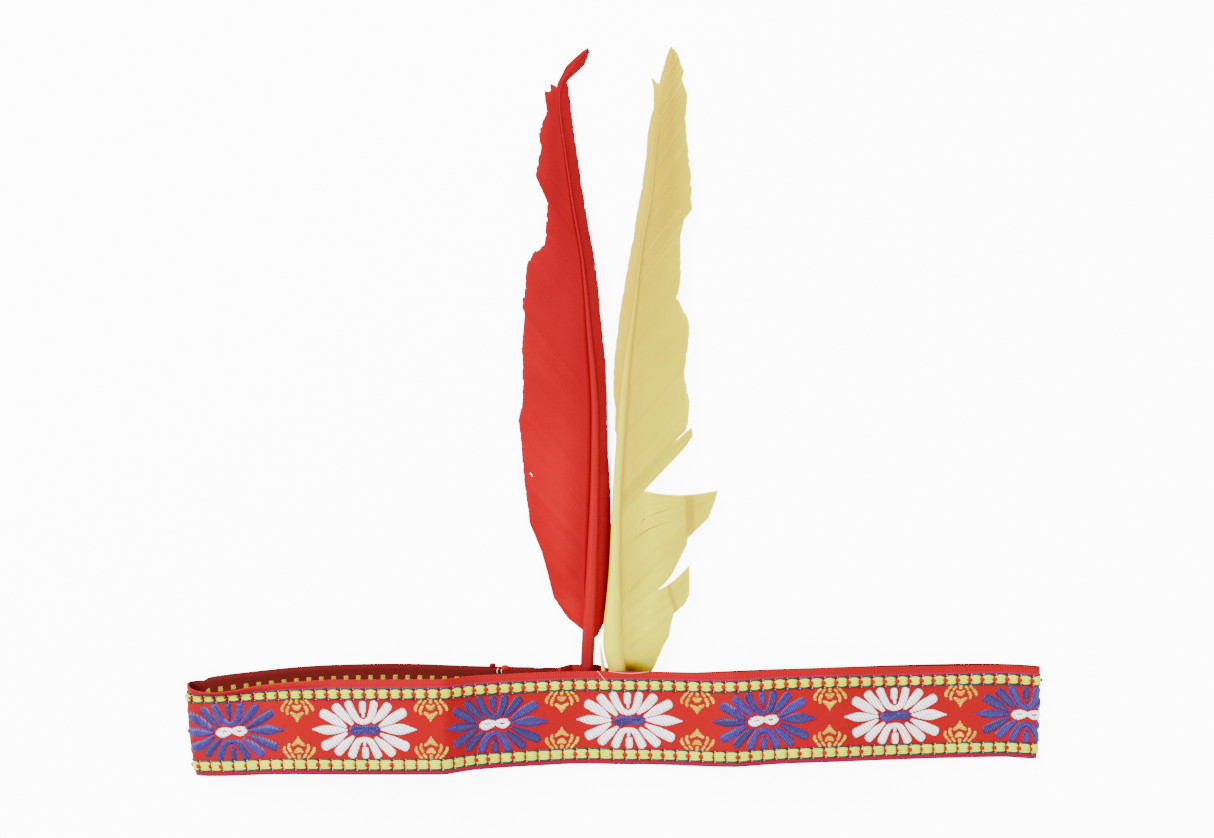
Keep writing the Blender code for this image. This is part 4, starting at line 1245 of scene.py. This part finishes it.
# Barbs are worn short in clumps, by up to these millimetres at these heights up the feather, and each has
# a shade that it shares in part with a longer clump
WORN_CLUMP = 5
WORN_HIGHS = (0.2, 0.6, 0.92, 0.95)
WORN_BY = (0.15, 0.55, 0.8, 0.3)
WORN_ALONE = 0.06 * MM
MOST_WORN = 0.4
SHADE_CLUMP = 7
CLUMP_SHARE = 0.7
OWN_SHARE = 0.3


def barb_root(feather, vane, tip):
    """Height on the shaft from which the barb that ends at this tip grows."""
    degrees = np.interp(tip.high, [row.high for row in vane.angles], [row.degrees for row in vane.angles])
    return tip.high - tip.out * vane.width / np.tan(np.radians(degrees)) / feather.length


def barb_line(root, tip, split=None, sag=0.0):
    """Points along one barb, as heights and reaches. It passes the split's inner end where it borders one."""
    shares = BARB_SHARES[:, None]
    root_point, tip_point = np.array([root, 0.0]), np.array([tip.high, tip.out])
    if split is None:
        return root_point + (tip_point - root_point) * shares
    middle = np.array([split.high, split.out])
    first = root_point + (middle - root_point) * np.minimum(shares / TURN, 1)
    beyond = np.clip((shares - TURN) / (1 - TURN), 0, 1)
    second = middle + (tip_point - middle) * beyond - np.array([sag, 0]) * 4 * beyond * (1 - beyond)
    return np.where(shares <= TURN, first, second)


def apart(feather, vane, between):
    """Turn differences in heights and reaches into distances."""
    return np.hypot(*(between * (feather.length, vane.width)).T)


def lock_lines(feather, vane, rows, before, after):
    """All barbs of one lock: those of its table rows, and evenly spaced ones between them."""
    roots = [max(barb_root(feather, vane, row), vane.start) for row in rows]
    bounds = [(None, 0.0)] * len(rows)
    if before is not None:
        roots[0] = barb_root(feather, vane, before)
        bounds[0] = (before, before.above)
    if after is not None:
        roots[-1] = barb_root(feather, vane, after)
        roots = list(np.minimum(roots, roots[-1]))
        bounds[-1] = (after, after.below)
    roots = np.maximum.accumulate(roots)
    lines = [barb_line(roots[0], rows[0], *bounds[0])]
    for root, row, bound in zip(roots[1:], rows[1:], bounds[1:]):
        previous, line = lines[-1], barb_line(root, row, *bound)
        count = max(int(np.ceil(apart(feather, vane, line - previous).max() / BARB_PITCH)), 1)
        lines += [previous + (line - previous) * share for share in np.linspace(0, 1, count + 1)[1:]]
    return lines


def vane_place(feather, vane, high, out):
    """Points of the vane's middle: it leaves the shaft's side and droops towards its edge."""
    inner = shaft_side(feather, high)
    reach = np.maximum(out * vane.width, inner + out * GAP)
    droop = VANE_DROOP * np.minimum(out, 1.0) ** 2
    z = (shaft_height(feather, high) - VANE_THICKNESS / 2) * (1 - droop) + VANE_THICKNESS / 2
    return np.stack([shaft_x(feather, high) + vane.side * reach, shaft_y(feather, high), z], axis=-1)


def trimmed(feather, vane, lines):
    """Barbs cut short at their tips by a fraction of a millimetre, in clumps, more so high up the feather."""
    reach = apart(feather, vane, lines[:, -1] - lines[:, 0])
    clump = np.repeat(rng.random(len(lines) // WORN_CLUMP + 1), WORN_CLUMP)[: len(lines)]
    worn = np.interp(lines[:, -1, 0], WORN_HIGHS, WORN_BY) * MM
    cut = worn * clump**3 + WORN_ALONE * rng.random(len(lines))
    kept = 1 - np.minimum(cut / np.maximum(reach, MM), MOST_WORN)
    return lines[:, :1] + (lines - lines[:, :1]) * kept[:, None, None]


# %% The fan of barbs of a vane
Nick = namedtuple("Nick", "place half")


def vane_piece(name, feather, vane, material, slot, node, nicks=()):
    """Make a vane of single barbs, tilted over each other like roof tiles."""
    locks = (None, *vane.locks, None)
    lines = []
    for k in range(1, len(locks), 2):
        lines += lock_lines(feather, vane, locks[k], locks[k - 1], locks[k + 1])
    lines = trimmed(feather, vane, np.array(lines))
    lines[..., 1] *= 1 + TIP_REACH / vane.width
    middle = vane_place(feather, vane, lines[..., 0], lines[..., 1])
    taper = np.interp(BARB_SHARES, (0, TAPER_FROM, 1), (1.0, 1.0, TIP_WIDTH))
    half = BARB_PITCH * BARB_OVERLAP / 2 * np.repeat(taper[None], len(lines), axis=0)
    for nick in nicks:
        away = np.hypot(middle[..., 0] - nick.place[0], middle[..., 1] - nick.place[1])
        half *= np.where(away < nick.half, NICK_WIDTH, 1.0)
    ahead = np.gradient(middle, axis=1)
    ahead /= np.linalg.norm(ahead, axis=-1, keepdims=True)
    side = np.cross(ahead, (0, 0, 1.0))
    side /= np.linalg.norm(side, axis=-1, keepdims=True)
    lift = rng.normal(0, BARB_UNEVENNESS, len(lines))[:, None]
    corners = []
    for across, up in ((-1, -1), (1, -1), (1, 1), (-1, 1)):
        corner = middle + side * (across * half)[..., None]
        corner[..., 2] += up * BARB_THICK / 2 + across * BARB_TILT * vane.side + lift
        corners.append(corner)
    points = np.stack(corners, axis=2).reshape(len(lines), BARB_STEPS * 4, 3)
    points[..., 2] = np.maximum(points[..., 2], LOWEST)
    last = 4 * BARB_STEPS - 4
    faces = [[3, 2, 1, 0], [last, last + 1, last + 2, last + 3]]
    for near in range(0, last, 4):
        for k in range(4):
            faces.append([near + k, near + (k + 1) % 4, near + 4 + (k + 1) % 4, near + 4 + k])
    spots = np.zeros((len(lines), BARB_STEPS * 4, 2))
    spots[..., 0] = np.arange(len(lines))[:, None] * BARB_PITCH
    spots[..., 1] = np.repeat(BARB_SHARES, 4)[None, :]
    knots = rng.random(len(lines) // SHADE_CLUMP + 2)
    clumps = np.interp(np.linspace(0, 1, len(lines)), np.linspace(0, 1, len(knots)), knots)
    marks = CLUMP_SHARE * clumps + OWN_SHARE * rng.random(len(lines))
    return joined(name, faces, points, marks, spots, material, slot, node)


# %% The dyed barbs' materials
# A vane's colours: low and high up the feather, a painted shade near the shaft that also colours the random
# streaks and the fold shadows, painted light or shade towards the outer edge, a painted sheen at the rim of
# barb tips, and a painted shadow at the foot
DyeAndShade = namedtuple("DyeAndShade", "low high inner outer rim foot")
FoldShadow = namedtuple("FoldShadow", "low high width")


def beyond_line(material, place, band):
    """How far a place lies to the right of a line, and 1 beside the line's own length, else 0."""
    low, high = np.array([*band.low, 0.0]), np.array([*band.high, 0.0])
    length = float(np.linalg.norm(high - low))
    along = tuple((high - low) / length)
    right = (along[1], -along[0], 0.0)
    kind = "ShaderNodeVectorMath"
    from_low = add_node(material, kind, {0: place, 1: tuple(low)}, operation="SUBTRACT").outputs[0]
    away, share = (
        add_node(material, kind, {0: from_low, 1: way}, operation="DOT_PRODUCT").outputs["Value"]
        for way in (right, along)
    )
    return away, band_mask(material, share, 0.0, length, 0.8 * MM)


def vane_material(name, dye_and_shade, streak, fold_shadows=()):
    """Dyed barbs, nearly matt: darker towards the top, with painted shade near the shaft, painted light or
    shade towards the outer edge, random streaks, painted shadow along the given folds and at the foot, and a
    painted sheen at the rim.
    """
    material = start_material(name, dye_and_shade.low, 0.75, 0.06)
    out = flat_axes(material)[1]
    place = add_node(material, "ShaderNodeTexCoord").outputs["Object"]
    up = add_node(material, "ShaderNodeSeparateXYZ", {"Vector": place}).outputs["Y"]
    mark = add_node(material, "ShaderNodeAttribute", attribute_name="mark").outputs["Fac"]
    body = blend(material, ramp(material, up, 30 * MM, 170 * MM), dye_and_shade.low, dye_and_shade.high)
    # painted shade near the shaft, then painted light or shade towards the outer edge
    body = blend(material, ramp(material, out, 0.45, 0.0), body, dye_and_shade.inner)
    body = blend(material, ramp(material, out, 0.55, 1.0, 0.6), body, dye_and_shade.outer)
    mixed = reckon(material, "MULTIPLY_ADD", mark, streak, noise(material, place, (60.0, 60.0, 60.0), 2.0))
    body = blend(material, ramp(material, mixed, 0.45, 0.65 + streak, 0.55), body, dye_and_shade.inner)
    for band in fold_shadows:
        # painted shadow in a band beside each fold line
        away, beside = beyond_line(material, place, band)
        fold = reckon(material, "MULTIPLY", band_mask(material, away, 0.0, band.width, 0.4 * MM), beside)
        body = blend(material, fold, body, dye_and_shade.inner)
    # painted shadow over the foot beside the quill
    slope = reckon(material, "MULTIPLY_ADD", out, 4.0 * MM, up)
    body = blend(material, ramp(material, slope, 20.0 * MM, 16.5 * MM), body, dye_and_shade.foot)
    # painted sheen along the barb tips at the rim
    feed(material, "Base Color", blend(material, ramp(material, out, 0.965, 1.0), body, dye_and_shade.rim))
    return material


# Painted shadow bands where the yellow wide vane's torn lobes fold over: each has a line from its low point
# to its high point, in metres, and a width to the right of that line
LOBE_FOLD_SHADOWS = (
    FoldShadow((17.6 * MM, 44.2 * MM), (21.3 * MM, 32.2 * MM), 1.2 * MM),
    FoldShadow((25.7 * MM, 72.5 * MM), (26.3 * MM, 58.8 * MM), 2.8 * MM),
)
RED_DYE_AND_SHADE = DyeAndShade("#B8000F", "#7E000C", "#84000B", "#A0000F", "#8A0A34", "#5C0810")
# The red narrow vane is painted darker all over than the wide one: painted shade, as it slopes away from the
# light
RED_NARROW_DYE_AND_SHADE = DyeAndShade("#940A16", "#940A14", "#7E0812", "#960A16", "#7A0C24", "#5C0810")
YELLOW_DYE_AND_SHADE = DyeAndShade("#FFFF00", "#D2B200", "#DABC00", "#F6EC00", "#FCF430", "#8E4A00")
YELLOW_NARROW_DYE_AND_SHADE = DyeAndShade("#C8B400", "#C6AC00", "#BCA000", "#CEBC00", "#DCD020", "#8E4A00")
red_barbs = vane_material("dyed red barbs, wide vane", RED_DYE_AND_SHADE, 0.25)
red_narrow_barbs = vane_material("dyed red barbs, narrow vane", RED_NARROW_DYE_AND_SHADE, 0.25)
yellow_barbs = vane_material("dyed yellow barbs, wide vane", YELLOW_DYE_AND_SHADE, 0.3, LOBE_FOLD_SHADOWS)
yellow_narrow_barbs = vane_material("dyed yellow barbs, narrow vane", YELLOW_NARROW_DYE_AND_SHADE, 0.3)

# %% The four vanes
RED_NICK = Nick((-27.85 * MM, 78.8 * MM), 0.7 * MM)
vane_piece("red_barbs_wide", RED, RED_WIDE, red_barbs, "red_vane", "red_vane_wide", nicks=(RED_NICK,))
vane_piece("red_barbs_narrow", RED, RED_NARROW, red_narrow_barbs, "red_vane", "red_vane_narrow")
vane_piece("yellow_barbs_narrow", YELLOW, YELLOW_NARROW, yellow_narrow_barbs, "yellow_vane",
           "yellow_vane_narrow")
vane_piece("yellow_barbs_wide", YELLOW, YELLOW_WIDE, yellow_barbs, "yellow_vane", "yellow_vane_wide")

# %% [markdown]
# The last fine things. In the yellow feather's torn lobe three slits show as dark lines of shadow, painted
# here as thin dark strands just above the barbs. At three tears a tuft of pale down sticks out, and beside
# the yellow quill's foot lies one loose barb. All of them are round strands, a few hairs for each tuft.

# %% Three slits between barbs, as heights and reaches
SLITS = (
    ((0.326, 0.335), (0.331, 0.375), (0.334, 0.405)),
    ((0.335, 0.42), (0.3405, 0.57), (0.3475, 0.775)),
    ((0.299, 0.217), (0.309, 0.33), (0.3175, 0.45), (0.3235, 0.59), (0.3285, 0.76)),
)
SLIT_LIFT = (0, 0, 0.10 * MM)
# The slits' shadow is painted: thin strands in a shadowed gold
shadowed = start_material("shadowed slit between barbs", "#8E6E00", 0.9, 0.0)
slit_shadows = []
for slit in SLITS:
    places = vane_place(YELLOW, YELLOW_WIDE, *np.array(slit).T) + SLIT_LIFT
    slit_shadows.append((places, np.interp(np.linspace(0, 1, len(slit)), (0, 0.5, 1), (0.05, 0.15, 0.05)) * MM))
drawn("vane_slit_shadows", slit_shadows, 1, shadowed, "yellow_vane")

# %% The tufts of down, and the loose barb at the yellow quill's foot
DOWN_RADII = np.array([0.10, 0.09, 0.08, 0.06, 0.03]) * MM
FLATTENED = (1, 1, 0.2)
FOOT_BARB = (
    (-3.5, 11.5, 4.6), (-3.65, 14.8, 4.8), (-4.05, 18.0, 5.0), (-4.4, 20.4, 5.1), (-4.75, 22.9, 5.1),
)
FOOT_BARB_RADII = np.array([0.62, 0.62, 0.50, 0.36, 0.10]) * MM


def tuft(base, tip, count, spread):
    """Fine hairs from one place towards another, each bent a little."""
    base, tip = np.array(base) * MM, np.array(tip) * MM
    t = np.linspace(0, 1, len(DOWN_RADII))[:, None]
    strands = []
    for _ in range(count):
        end = tip + rng.normal(0, spread * MM, 3) * FLATTENED
        bend = (base + end) / 2 + rng.normal(0, spread / 2 * MM, 3) * FLATTENED
        strands.append((base * (1 - t) ** 2 + 2 * bend * t * (1 - t) + end * t**2, DOWN_RADII))
    return strands


cream_down = start_material("undyed down", "#F4E6C0", 0.8, 0.1)
pink_down = start_material("palely dyed down", "#E6A8A0", 0.8, 0.1)
pale_barb = start_material("palely dyed barb", "#F2E060", 0.7, 0.08)
yellow_tufts = tuft((15.6, 204.6, 1.2), (13.9, 207.9, 1.2), 14, 0.5)
yellow_tufts += tuft((22.7, 184.0, 1.4), (24.0, 185.3, 1.4), 14, 0.5)
drawn("yellow_tufts", yellow_tufts, 1, cream_down, "yellow_vane")
red_tufts = tuft((-19.4, 205.0, 1.2), (-20.4, 206.8, 1.2), 8, 0.4)
drawn("red_tufts", red_tufts, 1, pink_down, "red_vane")
drawn("foot_barb", [(np.array(FOOT_BARB) * MM, FOOT_BARB_RADII)], 3, pale_barb, "yellow_vane")
